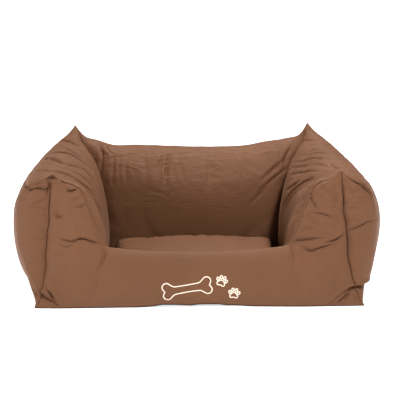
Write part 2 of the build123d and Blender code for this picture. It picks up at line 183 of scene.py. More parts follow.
RIGHT_TOP_FOLDS = [
    (2.0, 2.4, 1.0, ((299, 159), (305, 154), (313, 150), (322, 147.5))),
    (1.8, 2.6, 1.2, ((303, 157), (312, 153.5), (321, 152.5), (330, 154))),
    (1.9, 2.4, 1.0, ((293, 163), (302, 161), (314, 158), (327, 158))),
    (1.9, 2.0, 0.9, ((292, 168), (302, 166.5), (314, 164), (325, 166), (334, 169))),
    (1.9, 1.8, 0.8, ((290, 175), (300, 173), (312, 171), (325, 172))),
    (2.2, 2.8, 1.6, ((329, 164), (336, 167.5), (342, 168.5), (348, 168))),
    (2.2, 2.6, 1.0, ((302, 141), (309, 140), (317, 141))),
    (1.8, 1.8, 0.8, ((306, 147), (314, 144.5), (322, 144))),
    (2.0, 1.8, 0.8, ((287, 190), (292, 186), (300, 181))),
    (2.4, 7.0, 3.0, ((313, 178), (305, 181.5), (297, 187), (289, 195.5), (283, 205))),
]
REAR_WALL_FOLDS = [
    (2.2, 3.0, 1.6, ((100, 176), (101, 167), (102.5, 158), (101, 150), (98, 142))),
    (1.6, 2.0, 1.0, ((112, 154), (108, 149), (106, 145))),
    (3.0, 1.2, 0.8, ((112, 186), (113, 172), (114, 154))),
    (2.4, 1.0, 0.6, ((120, 184), (119, 168), (120, 154))),
    (3.2, 1.2, 0.8, ((127, 186), (125.5, 170), (128, 152))),
    (3.4, 1.0, 0.6, ((145, 184), (146, 168), (144, 153))),
    (2.4, 2.6, 1.4, ((166, 186), (166, 174), (168, 162), (169, 156), (172, 150))),
    (2.2, 1.6, 0.8, ((158, 172), (161, 161), (166, 151))),
    (2.4, 1.6, 0.8, ((184, 182), (181, 168), (178, 152))),
    (2.4, 2.2, 1.4, ((262, 180), (270, 172), (278, 165), (286, 158))),
    (2.4, 2.2, 1.4, ((260, 190), (270, 182), (279, 174), (287, 168))),
    (2.2, 2.6, 1.2, ((284, 166), (286, 156), (293, 144))),
    (2.6, 1.4, 0.8, ((250, 204), (260, 194), (270, 186))),
    (4.0, 1.2, 0.8, ((240, 186), (244, 168), (242, 150))),
    (4.0, 1.0, 0.6, ((206, 190), (209, 170), (206, 152))),
]
FOLDS = {
    ("left", "outer"): LEFT_SIDE_FOLDS, ("front", "outer"): LEFT_WING_FOLDS + RIGHT_WING_FOLDS,
    ("right", "outer"): RIGHT_SIDE_FOLDS, ("left", "inner"): LEFT_TOP_FOLDS,
    ("right", "inner"): RIGHT_TOP_FOLDS, ("rear", "inner"): REAR_WALL_FOLDS,
}

# Deep folds where the cloth bunches at a front corner, across its seam: the side of the bed, how far the
# fold reaches from its middle in millimetres, its width in pixels, the depth below it and the overhang above
# it in millimetres, and its course in the photograph, in pixels. Above is the left side of the course.
CORNER_FOLDS = [
    (-1, 100, 2.0, 12.0, 3.5,
     ((22, 262), (25, 271), (31, 281), (38, 290), (45, 297), (53, 303), (60, 307.5))),
    (-1, 60, 1.3, 4.5, 1.5, ((46, 286), (47, 292), (52, 298.5), (58, 304))),
    (-1, 60, 1.0, 4.0, 1.0, ((38, 300), (35, 293), (32, 287))),
    (1, 100, 1.8, 12.0, 3.5, ((346, 291), (350, 288), (356, 286.5), (363, 285.5), (370, 282), (374, 279))),
    (1, 60, 1.4, 5.0, 1.5, ((337, 303), (343, 297.5), (348, 292), (352, 287))),
    (1, 50, 1.0, 4.5, 1.5, ((352, 290), (356, 296), (361, 303))),
    (-1, 90, 1.6, 11.0, 8.0, ((54, 179), (46, 178.5), (37, 178.5), (30, 181.5), (24, 187), (19, 194))),
    (1, 80, 0.9, 5.0, 3.0, ((350, 178), (357, 182), (364, 187), (370, 193), (375, 199))),
]


# Where the photograph shows the cover off its pattern: the move at the place itself, how far the pull
# reaches, and how sharply it ends, in metres. The tips are those of the top seam at the four corners.
TIP_PULLS = {
    (-1, 1): ((-0.001, 0.002, 0.0125), 0.038, 1.25),
    (1, 1): ((-0.005, 0.002, 0.0165), 0.038, 1.25),
    (-1, -1): ((0, 0, 0.009), 0.026, 1.15),
    (1, -1): ((0, 0, 0.012), 0.026, 1.15),
}
WING_TIP_X, WING_TIP_Z = 0.293, 0.290
RIGHT_WING_PULL = ((0.003, -0.003, 0.015), 0.018, 1.0)
LEFT_WING_PULL = ((0.0, -0.003, 0.009), 0.018, 1.0)
PULLS = [
    ((-0.235, 0.285, 0.310), (0, 0, -0.006), 0.036, 2.0),
    ((-0.100, 0.285, 0.305), (0, 0, 0.005), 0.150, 2.0),
    ((0.235, 0.285, 0.310), (0, 0, 0.008), 0.055, 2.0),
    ((0.415, -0.318, 0.070), (-0.011, 0, 0), 0.034, 2.0),
    ((0.400, -0.312, 0.0), (0.009, -0.008, 0), 0.075, 2.0),
    ((0.270, -0.312, 0.0), (0, -0.009, 0), 0.110, 2.0),
    ((-0.330, -0.312, 0.0), (0.0, -0.005, 0), 0.110, 2.0),
    ((0.460, -0.200, 0.190), (0.006, 0, 0), 0.070, 2.0),
    ((-0.430, -0.270, 0.060), (0.008, 0, 0), 0.060, 2.0),
]


class CoverSizes(bpy.types.PropertyGroup):
    """The sewn cover of the walls."""

    cell: FloatProperty(name="Cell", description="Side of a cell of the simulated cover", default=0.007,
                        unit="LENGTH")
    cloth: FloatProperty(name="Cloth", description="Thickness of the coated cloth", default=0.0012,
                         unit="LENGTH")
    outer_cells: IntProperty(name="Outer cells", description="Cells up each outer panel", default=46)
    inner_cells: IntProperty(name="Inner cells", description="Cells across each inner panel", default=62)
    ease: FloatProperty(name="Ease", description="Extra cloth that the stuffing gathers into wrinkles",
                        default=0.035, subtype="FACTOR")
    pressure: FloatProperty(name="Pressure", description="How hard the stuffing pushes", default=3.0)
    frames: IntProperty(name="Frames", description="Steps of the simulation", default=26)
    largest_move: FloatProperty(name="Largest move", description="Cap on the cloth's way from its pattern",
                                default=0.009, unit="LENGTH")
    folded_edge: FloatProperty(name="Folded edge", description="How far the front's top edge stands up",
                               default=0.0028, unit="LENGTH")
    fold_width: FloatProperty(name="Fold width", description="Width of every fold over its own", default=1.3,
                              subtype="FACTOR")
    fold_depth: FloatProperty(name="Fold depth", description="Depth of every fold over its own", default=2.4,
                              subtype="FACTOR")
    seam_depth: FloatProperty(name="Seam depth", description="How far a seam draws the cloth in",
                              default=0.0065, unit="LENGTH")
    seam_reach: FloatProperty(name="Seam reach", description="Half the width of the groove at a seam",
                              default=0.0065, unit="LENGTH")
    mitre_depth: FloatProperty(name="Mitre depth", description="How far two walls press in on their corner",
                               default=0.014, unit="LENGTH")
    mitre_reach: FloatProperty(name="Mitre reach", description="Half the width of that hollow",
                               default=0.018, unit="LENGTH")
    front_lift: FloatProperty(name="Front lift", description="How far the front edge stands off the floor",
                              default=0.0055, unit="LENGTH")
    stuffing_gap: FloatProperty(name="Stuffing gap", description="From a cloth's face to its stuffing",
                                default=0.0045, unit="LENGTH")
    colour: FloatVectorProperty(name="Brown", description="Colour of the coated cloth", subtype="COLOR",
                                default=(0.140, 0.062, 0.031), min=0.0, max=1.0)


class CushionSizes(bpy.types.PropertyGroup):
    """The loose cushion and its zip."""

    crown: FloatProperty(name="Crown", description="Height of the top above its border", default=0.036,
                         unit="LENGTH")
    cells: IntProperty(name="Cells", description="Cells along the cushion", default=84)
    draw_in: FloatProperty(name="Draw in", description="How far a side pulls in between its corners",
                           default=0.009, unit="LENGTH")
    pressure: FloatProperty(name="Pressure", description="How hard the stuffing pushes", default=3.0)
    seam_depth: FloatProperty(name="Seam depth", description="How far a seam draws the cloth in",
                              default=0.0018, unit="LENGTH")
    seam_reach: FloatProperty(name="Seam reach", description="Half the width of the groove at a seam",
                              default=0.0045, unit="LENGTH")
    ease: FloatProperty(name="Ease", description="Extra cloth that gathers into wrinkles", default=0.03,
                        subtype="FACTOR")
    frames: IntProperty(name="Frames", description="Steps of the simulation", default=20)
    tooth_pitch: FloatProperty(name="Tooth pitch", description="Distance between the zip's teeth",
                               default=0.0022, unit="LENGTH")


class TrimSizes(bpy.types.PropertyGroup):
    """Thread, print and grip dots."""

    stitch: FloatProperty(name="Stitch", description="Length of a stitch", default=0.0034, unit="LENGTH")
    stitch_gap: FloatProperty(name="Stitch gap", description="Space between stitches", default=0.0012,
                              unit="LENGTH")
    thread: FloatProperty(name="Thread", description="Thickness of the sewing thread", default=0.0007,
                          unit="LENGTH")
    line: FloatProperty(name="Line", description="Width of the printed lines", default=0.0026, unit="LENGTH")
    cream: FloatVectorProperty(name="Cream", description="Colour of the printed lines", subtype="COLOR",
                               default=(0.90, 0.74, 0.60), min=0.0, max=1.0)


class StageSizes(bpy.types.PropertyGroup):
    """Camera and lights."""

    camera_place: FloatVectorProperty(name="Camera", description="Where the camera stands", unit="LENGTH",
                                      default=(-0.0508, -2.4131, 0.7119))
    yaw: FloatProperty(name="Yaw", description="Turn of the camera to the right", default=0.027,
                       unit="ROTATION")
    pitch: FloatProperty(name="Pitch", description="Tilt of the camera downwards", default=0.2093,
                         unit="ROTATION")
    roll: FloatProperty(name="Roll", description="Roll of the camera", default=-0.002, unit="ROTATION")
    focal_pixels: FloatProperty(name="Focal length", description="Focal length in pixels of the photograph",
                                default=902.8)


def settings(name):
    return getattr(bpy.context.scene, "dog_bed_" + name)


# Helpers for rows of numbers and grids of points

def smooth_rows(places, rows, wanted):
    """Rows of values between the given places, with no overshoot (a monotone cubic)."""
    places = np.asarray(places, float)
    rows = np.asarray(rows, float)
    gaps = np.diff(places)[:, None]
    slopes = np.diff(rows, axis=0) / gaps
    tangents = np.zeros_like(rows)
    tangents[0], tangents[-1] = slopes[0], slopes[-1]
    before, after = slopes[:-1], slopes[1:]
    heavy, light = 2 * gaps[1:] + gaps[:-1], gaps[1:] + 2 * gaps[:-1]
    with np.errstate(divide="ignore", invalid="ignore"):
        mean = (heavy + light) / (heavy / before + light / after)
    tangents[1:-1] = np.where(before * after > 0, mean, 0)
    spans = np.clip(np.searchsorted(places, wanted, side="right") - 1, 0, len(places) - 2)
    width = gaps[spans]
    t = ((wanted - places[spans]) / width[:, 0])[:, None]
    start, end = rows[spans], rows[spans + 1]
    return ((1 + 2 * t) * (1 - t) ** 2 * start + t * (1 - t) ** 2 * width * tangents[spans]
            + t * t * (3 - 2 * t) * end + t * t * (t - 1) * width * tangents[spans + 1])


def resampled(points, places, axis):
    """Points at fractional places along one axis of a grid, on a smooth curve through the grid's points."""
    grid = np.moveaxis(points, axis, 0)
    last = len(grid) - 1
    low = np.clip(np.floor(places).astype(int), 0, last - 1)
    t = (places - low).reshape((-1,) + (1,) * (grid.ndim - 1))
    a, b = grid[np.maximum(low - 1, 0)], grid[low]
    c, d = grid[low + 1], grid[np.minimum(low + 2, last)]
    a = np.where((low == 0).reshape(t.shape), 2 * b - c, a)
    d = np.where((low == last - 1).reshape(t.shape), 2 * c - b, d)
    out = b + 0.5 * t * (c - a + t * (2 * a - 5 * b + 4 * c - d + t * (3 * (b - c) + d - a)))
    return np.moveaxis(out, 0, axis)


def lengths_along(points, axis):
    """Distance from the start of each row of a grid, along one axis."""
    steps = np.linalg.norm(np.diff(points, axis=axis), axis=-1)
    start = np.zeros_like(np.take(steps, [0], axis=axis))
    return np.concatenate([start, np.cumsum(steps, axis=axis)], axis=axis)


def length_passed(line):
    """Distance from the start of a line to each of its points."""
    return np.r_[0, np.cumsum(np.linalg.norm(np.diff(line, axis=0), axis=1))]


def grid_normals(points):
    """Unit normals of a grid whose first axis runs to the right and second one up, seen from outside."""
    normals = np.cross(np.gradient(points, axis=0), np.gradient(points, axis=1))
    return normals / np.maximum(np.linalg.norm(normals, axis=-1, keepdims=True), 1e-12)


def soft_noise(points, size, seed, octaves=3):
    """Smooth noise from -1 to 1 at points, with features of this size: sums of turned waves."""
    random = np.random.RandomState(seed)
    total = np.zeros(points.shape[:-1])
    weight = 0
    for octave in range(octaves):
        scale = size / 1.9 ** octave
        for wave in range(7):
            way = random.normal(size=points.shape[-1])
            way = way / np.linalg.norm(way) * (2 * math.pi / scale) * random.uniform(0.6, 1.4)
            total += np.sin(points @ way + random.uniform(0, 2 * math.pi)) * 0.6 ** octave
        weight += 7 * 0.6 ** octave
    return total / weight * 2.2


def outline(half, low, high):
    """The corners of an upright or level rectangle, anticlockwise and back to the first."""
    return [(-half, low), (half, low), (half, high), (-half, high), (-half, low)]


def fade(distance, reach):
    """0 at no distance, rising smoothly to 1 at the reach."""
    share = np.clip(distance / reach, 0, 1)
    return share * share * (3 - 2 * share)


# Helpers for Blender data

def link(obj):
    bpy.context.scene.collection.objects.link(obj)
    return obj


def mesh_object(name, vertices, faces, uvs=None):
    """A mesh piece at the origin. uvs holds one pair per vertex, in metres of cloth."""
    mesh = bpy.data.meshes.new(name)
    mesh.from_pydata([tuple(v) for v in vertices], [], [tuple(f) for f in faces])
    if uvs is not None:
        layer = mesh.uv_layers.new(name="Cloth")
        corners = np.zeros(len(mesh.loops), np.int32)
        mesh.loops.foreach_get("vertex_index", corners)
        layer.data.foreach_set("uv", np.asarray(uvs, np.float32)[corners].ravel())
    mesh.polygons.foreach_set("use_smooth", [True] * len(mesh.polygons))
    mesh.update()
    return link(bpy.data.objects.new(name, mesh))


def table_faces(table, closed=False):
    """Quads between neighbours in a table of point numbers. A closed table's last row meets its first."""
    before, after = (table, np.roll(table, -1, 0)) if closed else (table[:-1], table[1:])
    return np.stack([before[:, :-1], after[:, :-1], after[:, 1:], before[:, 1:]], -1).reshape(-1, 4)


def grid_faces(along, across, closed=False, flip=False):
    """Quads of a grid of along by across points, first axis slowest."""
    quads = table_faces(np.arange(along * across).reshape(along, across), closed)
    return quads[:, ::-1] if flip else quads


def finish_piece(piece, material, body, slot, *nodes):
    """Gives a piece its material and its body, and hides the nodes that it stands in for. The slot is not
    used.
    """
    piece.data.materials.clear()
    piece.data.materials.append(material)
    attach(piece, body)
    if nodes:
        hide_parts(*nodes)
    return piece


def cloth_piece(name, points, faces, uvs, material, body, slot, node, thickness=None):
    """A piece of cloth with its thickness and its map in metres, in place of a node."""
    piece = mesh_object(name, points.reshape(-1, 3), faces, uvs.reshape(-1, 2))
    modifier = piece.modifiers.new("Thickness", "SOLIDIFY")
    modifier.thickness = thickness or settings("cover").cloth
    modifier.offset = -1
    modifier.use_even_offset = False
    return finish_piece(piece, material, body, slot, node)


def plain_copy(piece, name):
    """The evaluated piece as a plain mesh object, in place of the piece itself."""
    depsgraph = bpy.context.evaluated_depsgraph_get()
    mesh = bpy.data.meshes.new_from_object(piece.evaluated_get(depsgraph), depsgraph=depsgraph)
    bpy.data.objects.remove(piece)
    mesh.name = name
    return link(bpy.data.objects.new(name, mesh))


def group_with(name, inputs, outputs, family="ShaderNodeTree"):
    """A node group with named inputs and outputs, and the nodes that hold them."""
    tree = bpy.data.node_groups.new(name, family)
    for label, kind, default in inputs:
        socket = tree.interface.new_socket(label, in_out="INPUT", socket_type="NodeSocket" + kind)
        if default is not None:
            socket.default_value = default
    for label, kind in outputs:
        tree.interface.new_socket(label, in_out="OUTPUT", socket_type="NodeSocket" + kind)
    return tree, tree.nodes.new("NodeGroupInput"), tree.nodes.new("NodeGroupOutput")


# How the coated cloth behaves in the simulation
CLOTH_RUN = {
    "quality": 5, "mass": 0.25, "air_damping": 1.5, "tension_stiffness": 12.0, "compression_stiffness": 12.0,
    "shear_stiffness": 6.0, "bending_stiffness": 0.4, "use_pressure": True,
}


def settle(name, vertices, faces, pinned, ease, pressure, frames):
    """Lets a cover with spare cloth swell under the pressure of its stuffing, and returns its points."""
    piece = mesh_object(name, vertices, faces)
    group = piece.vertex_groups.new(name="Seams")
    group.add([int(index) for index in np.flatnonzero(pinned)], 1.0, "REPLACE")
    modifier = piece.modifiers.new("Cloth", "CLOTH")
    cloth = modifier.settings
    for label, value in CLOTH_RUN.items():
        setattr(cloth, label, value)
    cloth.vertex_group_mass = group.name
    cloth.shrink_min = -ease
    cloth.uniform_pressure_force = pressure
    cloth.effector_weights.gravity = 0
    modifier.collision_settings.use_collision = False
    modifier.point_cache.frame_start = 1
    modifier.point_cache.frame_end = frames
    scene = bpy.context.scene
    for step in range(1, frames + 1):
        scene.frame_set(step)
    evaluated = piece.evaluated_get(bpy.context.evaluated_depsgraph_get())
    moved = np.zeros(len(vertices) * 3)
    evaluated.data.vertices.foreach_get("co", moved)
    scene.frame_set(1)
    mesh = piece.data
    bpy.data.objects.remove(piece)
    bpy.data.meshes.remove(mesh)
    return moved.reshape(-1, 3)


def limited(moves, cap):
    """Moves no longer than the cap, with a soft knee."""
    length = np.linalg.norm(moves, axis=-1, keepdims=True)
    return moves * (cap * np.tanh(length / cap) / np.maximum(length, 1e-9))


# The cover of the walls: one ring of cloth, with a row of points at each seam

def edge_points(start, end, bow, places):
    """Points along a foot line that bows outwards in its middle."""
    start, end = np.asarray(start, float), np.asarray(end, float)
    way = (end - start) / np.linalg.norm(end - start)
    outwards = np.array([way[1], -way[0]])
    places = places[:, None]
    return start + (end - start) * places + outwards * (4 * bow * places * (1 - places))


def wall_rows(side):
    """Places along the outer foot, then rows of the place along the inner foot and the profile."""
    if side in ("front", "rear"):
        half = FRONT_HALF_ROWS if side == "front" else [
            (place, place, REAR_MIDDLE + share * (REAR_CORNER - REAR_MIDDLE))
            for place, share in REAR_HALF_ROWS]
        both = [(-outer, -inner, profile) for outer, inner, profile in half[:0:-1]] + half
        rows = [((1 + outer) / 2, (1 + inner) / 2, profile) for outer, inner, profile in both]
    elif side == "right":
        rows = [(place, place, profile) for place, profile in SIDE_ROWS]
    else:
        rows = [(1 - place, 1 - place, profile) for place, profile in SIDE_ROWS[::-1]]
    return [row[0] for row in rows], [np.r_[row[1], row[2]] for row in rows]


def wall_feet(side):
    """The outer foot line, its bow, the inner foot line and its bow, all anticlockwise from above."""
    index = SIDES.index(side)
    feet = []
    for x, front, rear, bows in ((BASE_HALF[0], -BASE_HALF[1], BASE_HALF[1], OUTER_BOWS),
                                 (WELL_HALF, WELL_FRONT, WELL_REAR, INNER_BOWS)):
        feet += [outline(x, front, rear)[index:index + 2], bows[index]]
    return feet


def even_curve(controls, cells):
    """Evenly spaced points on the cubic curve that four rows of control points pull."""
    t = np.linspace(0, 1, 4 * cells + 1)
    weights = np.stack([(1 - t) ** 3, 3 * t * (1 - t) ** 2, 3 * t * t * (1 - t), t ** 3])
    curve = np.einsum("kt,ukx->utx", weights, controls)
    length = lengths_along(curve, 1)
    even = np.linspace(0, 1, cells + 1)
    out = np.zeros((len(curve), cells + 1, curve.shape[-1]))
    for row, (points, reached) in enumerate(zip(curve, length)):
        for axis in range(curve.shape[-1]):
            out[row, :, axis] = np.interp(even * reached[-1], reached, points[:, axis])
    return out


def wall_grid(side, places):
    """Points of one wall's outer and inner panel, from the outer foot over the seam to the inner foot."""
    sizes = settings("cover")
    known, rows = wall_rows(side)
    values = smooth_rows(known, rows, places)
    if side == "front":
        straight = np.stack([np.interp(places, known, column) for column in np.array(rows).T], 1)
        values += 0.7 * (straight - values)
    outer_line, outer_bow, inner_line, inner_bow = wall_feet(side)
    outer = edge_points(*outer_line, outer_bow, places)
    inner = edge_points(*inner_line, inner_bow, values[:, 0])
    profile = values[:, 1:]
    height = profile[:, 0]
    foot = np.linalg.norm(inner - outer, axis=1)
    inwards = (inner - outer) / foot[:, None]
    start = np.stack([0 * foot, 0 * foot + FOOT_Z], 1)
    end = np.stack([foot, 0 * foot + FOOT_Z], 1)
    seam = np.stack([profile[:, 1] * foot, height], 1)
    low = np.stack([profile[:, 2] * height, profile[:, 3] * height], 1)
    high = np.stack([profile[:, 4] * height, profile[:, 5] * height], 1)
    crown = np.stack([profile[:, 6] * foot, profile[:, 7] * height], 1)
    shoulder = np.stack([profile[:, 8] * foot, profile[:, 9] * height], 1)
    outer_curve = even_curve(np.stack([start, low, high, seam], 1), sizes.outer_cells)
    inner_curve = even_curve(np.stack([seam, crown, shoulder, end], 1), sizes.inner_cells)
    section = np.concatenate([outer_curve, inner_curve[:, 1:]], 1)
    flat = outer[:, None] + inwards[:, None] * section[:, :, :1]
    return np.concatenate([flat, section[:, :, 1:]], -1)


def even_places(side, cell):
    """Places along a wall, spaced evenly along its seam and foot together."""
    fine = np.linspace(0, 1, 400)
    grid = wall_grid(side, fine)
    seam = settings("cover").outer_cells
    length = lengths_along(grid[:, [0, seam, -1]], 0).mean(1)
    cells = int(round(length[-1] / cell))
    return np.interp(np.linspace(0, length[-1], cells + 1), length, fine)


def low_pass(moves, pinned, rounds):
    """The slow part of a ring of moves, held at the pinned points."""
    slow = moves.copy()
    for step in range(rounds):
        around = np.roll(slow, 1, 0) + np.roll(slow, -1, 0)
        across = np.concatenate([slow[:, 1:], slow[:, -1:]], 1)
        across += np.concatenate([slow[:, :1], slow[:, :-1]], 1)
        slow = (around + across) / 4
        slow[pinned] = 0
    return slow


# Rounds that part the quick wrinkles from the slow swelling, and how much of the swelling is taken out
QUICK_ROUNDS, SLOW_ROUNDS, SLOW_SHARE = 3, 90, 0.75


def cover_ring():
    """The whole ring of cloth after it has settled, and where each wall starts in it."""
    sizes = settings("cover")
    walls = []
    for side in SIDES:
        places = even_places(side, sizes.cell)
        walls.append(wall_grid(side, places)[:-1])
    starts = np.cumsum([0] + [len(wall) for wall in walls])
    ring = np.concatenate(walls)
    pinned = np.zeros(ring.shape[:2], bool)
    pinned[:, [0, sizes.outer_cells, -1]] = True
    pinned[starts[:-1]] = True
    faces = grid_faces(*ring.shape[:2], closed=True)
    random = np.random.RandomState(4)
    uneven = random.normal(0, 0.0004, ring.shape[:2])[..., None]
    start = ring + grid_normals(ring) * uneven * ~pinned[..., None]
    moved = settle("cover_pattern", start.reshape(-1, 3), faces, pinned.ravel(), sizes.ease, sizes.pressure,
                   sizes.frames)
    moves = moved.reshape(ring.shape) - ring
    slow = low_pass(moves, pinned, SLOW_ROUNDS)
    moves = limited(low_pass(moves, pinned, QUICK_ROUNDS) - SLOW_SHARE * slow, sizes.largest_move)
    return ring + moves * cloth_share(ring)[..., None], starts


# Where the flat sill ends to the sides, upwards and towards the well, and where the back's top starts
SILL_HALF, SILL_TOP, SILL_BACK = 0.27, 0.16, -0.20
BACK_START, BACK_FOOT = 0.15, 0.22
WRINKLES, SILL_PULL, BACK_PULL = 0.85, 0.6, 0.45


def cloth_share(ring):
    """How much of its wrinkles each part of the cover keeps: the sill and the back's top are pulled flat."""
    x, y, z = np.moveaxis(ring, -1, 0)
    sill = fade(SILL_HALF - np.abs(x), 0.05) * fade(SILL_TOP - z, 0.03) * fade(SILL_BACK - y, 0.03)
    back = fade(y - BACK_START, 0.04) * fade(z - BACK_FOOT, 0.04)
    return WRINKLES - SILL_PULL * sill - BACK_PULL * back


# Places of the first points beside a seam, in cells, and how much sparser the points of a calm part are
SEAM_PLACES = np.array([0.0, 0.12, 0.26, 0.45, 0.7])
SPARSER = 0.72


def fine_places(cells, steps=2.5, calm=0.0):
    """Places along a panel, closer together next to its seams and wider apart in a calm middle part."""
    count = int((cells - 2) * steps * (1 - 0.5 * calm)) // 2 * 2 + 1
    even = np.linspace(1, cells - 1, 400)
    density = 1 - SPARSER * (calm > 0) * fade(calm / 2 * cells - np.abs(even - cells / 2), 6)
    reached = np.r_[0, np.cumsum((density[1:] + density[:-1]) / 2)]
    inside = np.interp(np.linspace(0, reached[-1], count), reached, even)
    return np.r_[SEAM_PLACES, inside, cells - SEAM_PLACES[::-1]]


def split_panels(ring, starts):
    """The outer and inner panel of each wall as fine grids."""
    sizes = settings("cover")
    panels = {}
    closed = np.concatenate([ring, ring[:1]])
    for side, start, end in zip(SIDES, starts[:-1], starts[1:]):
        wall = closed[start:end + 1]
        wall = resampled(wall, fine_places(end - start, calm=0.58 if side == "front" else 0), 0)
        seam = sizes.outer_cells
        panels[side, "outer"] = resampled(wall[:, :seam + 1], fine_places(seam, 3.4), 1)
        panels[side, "inner"] = resampled(wall[:, seam:], fine_places(sizes.inner_cells), 1)
    return panels


def seam_normals(panels):
    """The way out at each seam, shared by the panels that meet there."""
    normals = {key: grid_normals(grid) for key, grid in panels.items()}
    tops, corners = {}, {}
    for side in SIDES:
        tops[side] = normals[side, "outer"][:, -1] + normals[side, "inner"][:, 0]
    for index, side in enumerate(SIDES):
        before = SIDES[index - 1]
        for layer in ("outer", "inner"):
            corners[side, layer] = normals[before, layer][-1] + normals[side, layer][0]
        meeting = corners[side, "outer"][-1] + corners[side, "inner"][0]
        corners[side, "outer"][-1] = corners[side, "inner"][0] = meeting
        tops[side][0] = tops[before][-1] = meeting
    for table in (tops, corners):
        for key, value in table.items():
            table[key] = value / np.linalg.norm(value, axis=-1, keepdims=True)
    return tops, corners


def groove_share(distance):
    """How far a seam draws the cloth in, at this distance from it: a sharp crease in a soft hollow."""
    reach = settings("cover").seam_reach
    return 0.62 * np.exp(-distance / (0.34 * reach)) + 0.38 * np.exp(-(distance / (1.5 * reach)) ** 2)


def draw_in_seams(panels):
    """Pulls the cloth in at every seam, as the thread does."""
    sizes = settings("cover")
    tops, corners = seam_normals(panels)
    tips = corner_points(panels)
    drawn = {}
    for index, side in enumerate(SIDES):
        after = SIDES[(index + 1) % 4]
        for layer in ("outer", "inner"):
            grid = panels[side, layer]
            along, across = lengths_along(grid, 0), lengths_along(grid, 1)
            from_top = across[:, -1:] - across if layer == "outer" else across
            from_start, from_end = along, along[-1:] - along
            depth = seam_depths(side, grid, from_top)
            spare = 1 - 0.75 * sum(np.exp(-(np.linalg.norm(grid - tip, axis=-1) / 0.022) ** 2)
                                   for tip in tips.values())
            rise = -depth * groove_share(from_top) + folded_edge(side, grid, from_top)
            moved = grid + tops[side][:, None] * (rise * spare)[..., None]
            for corner, distance in ((side, from_start), (after, from_end)):
                groove = sizes.seam_depth * groove_share(distance)
                if layer == "inner":
                    hollow = np.exp(-(distance / sizes.mitre_reach) ** 1.5)
                    groove += sizes.mitre_depth * hollow * fade(from_top, 0.07)
                groove *= fade(grid[..., 2] - FOOT_Z, 0.012) * spare
                moved -= corners[corner, layer][None] * groove[..., None]
                moved += seam_wander(corner, layer, corners[corner, layer], moved, distance)
            drawn[side, layer] = moved
    return drawn


def seam_wander(corner, layer, outwards, grid, distance):
    """A corner seam wanders a little to both sides on its way up."""
    if layer == "inner":
        return 0
    sideways = np.cross(outwards, (0, 0, 1.0))
    sideways /= np.linalg.norm(sideways, axis=-1, keepdims=True)
    start = SIDES.index(corner)
    height = grid[0 if distance[0, 0] < 1e-6 else -1, :, 2]
    waves = np.sin(height * 52 + 2 * start) + 0.6 * np.sin(height * 113 + start)
    share = 0.0013 * waves * fade(height, 0.05) * (1 - fade(height - 0.25, 0.06))
    return sideways[None] * (share[None] * np.exp(-(distance / 0.014) ** 2))[..., None]


# The heights between which the front's top seam climbs the slants and the wings
SLANT_FOOT, WING_TOP = 0.14, 0.315


def slant_share(grid, from_top):
    """How far each row of the front belongs to the slants and the wings, by the height of its seam."""
    height = grid[:, -1:, 2] if from_top[0, 0] > from_top[0, -1] else grid[:, :1, 2]
    return fade(height - SLANT_FOOT, 0.03) * (0.25 + 0.75 * fade(WING_TOP - height, 0.02))


def seam_depths(side, grid, from_top):
    """How deep the top seam is drawn in: hardly along the sill, where the cloth is folded over the edge."""
    depth = settings("cover").seam_depth
    if side != "front":
        return np.full(grid.shape[:2], depth * 0.75)
    return depth * (0.12 + 1.15 * slant_share(grid, from_top)) * np.ones(grid.shape[:2])


def folded_edge(side, grid, from_top):
    """The front panel swells beside its seam up the slants, where the seam's turned edges lie under it."""
    if side != "front" or from_top[0, 0] < from_top[0, -1]:
        return 0
    swell = np.exp(-((from_top - 0.0095) / 0.0045) ** 2)
    return settings("cover").folded_edge * slant_share(grid, from_top) * swell


def camera_axes():
    """Right, up and ahead of the camera."""
    view = settings("stage")
    ahead = Vector((math.sin(view.yaw) * math.cos(view.pitch), math.cos(view.yaw) * math.cos(view.pitch),
                    -math.sin(view.pitch)))
    right = Vector((math.cos(view.yaw), -math.sin(view.yaw), 0))
    up = right.cross(ahead)
    return (right * math.cos(view.roll) + up * math.sin(view.roll),
            up * math.cos(view.roll) - right * math.sin(view.roll), ahead)


TURNED_AWAY = 40               # pixels by which points on a panel's far side count as further off


def spots_on(grid, normals, pixels):
    """The points of a panel, on its side towards the camera, that the photograph shows at these pixels."""
    across, up, _ = picture_places(grid.reshape(-1, 3)).T
    away = grid.reshape(-1, 3) - np.array(settings("stage").camera_place)
    facing = np.einsum("nx,nx->n", away, normals.reshape(-1, 3)) < 0
    spots = []
    for x, y in pixels:
        distance = np.hypot(across - x, up + y) + TURNED_AWAY * ~facing
        nearest = np.argsort(distance)[:4]
        weights = 1 / (distance[nearest] + 0.2)
        spots.append((grid.reshape(-1, 3)[nearest] * weights[:, None]).sum(0) / weights.sum())
    spots = np.array(spots)
    return resampled(spots, np.linspace(0, len(spots) - 1, 5 * len(spots)), 0)


def corner_points(panels):
    """The tips of the top seam at the four corners of the bed."""
    ends = {(-1, -1): ("front", 0), (1, -1): ("front", -1), (1, 1): ("rear", 0), (-1, 1): ("rear", -1)}
    return {corner: panels[side, "outer"][end, -1].copy() for corner, (side, end) in ends.items()}


def pull_to_shape(panels):
    """Pulls the cover where the photograph shows it off its pattern."""
    tips = corner_points(panels)
    wings = {end: np.array([end * WING_TIP_X, tips[end, -1][1], WING_TIP_Z]) for end in (-1, 1)}
    pulls = [(tips[corner], *pull) for corner, pull in TIP_PULLS.items()]
    pulls += [(wings[1], *RIGHT_WING_PULL), (wings[-1], *LEFT_WING_PULL)]
    pulls += [(np.array(place), *pull) for place, *pull in PULLS]
    for grid in panels.values():
        for place, move, reach, power in pulls:
            distance = np.linalg.norm(grid - place, axis=-1)
            grid += np.exp(-(distance / reach) ** power)[..., None] * np.array(move)
    return panels


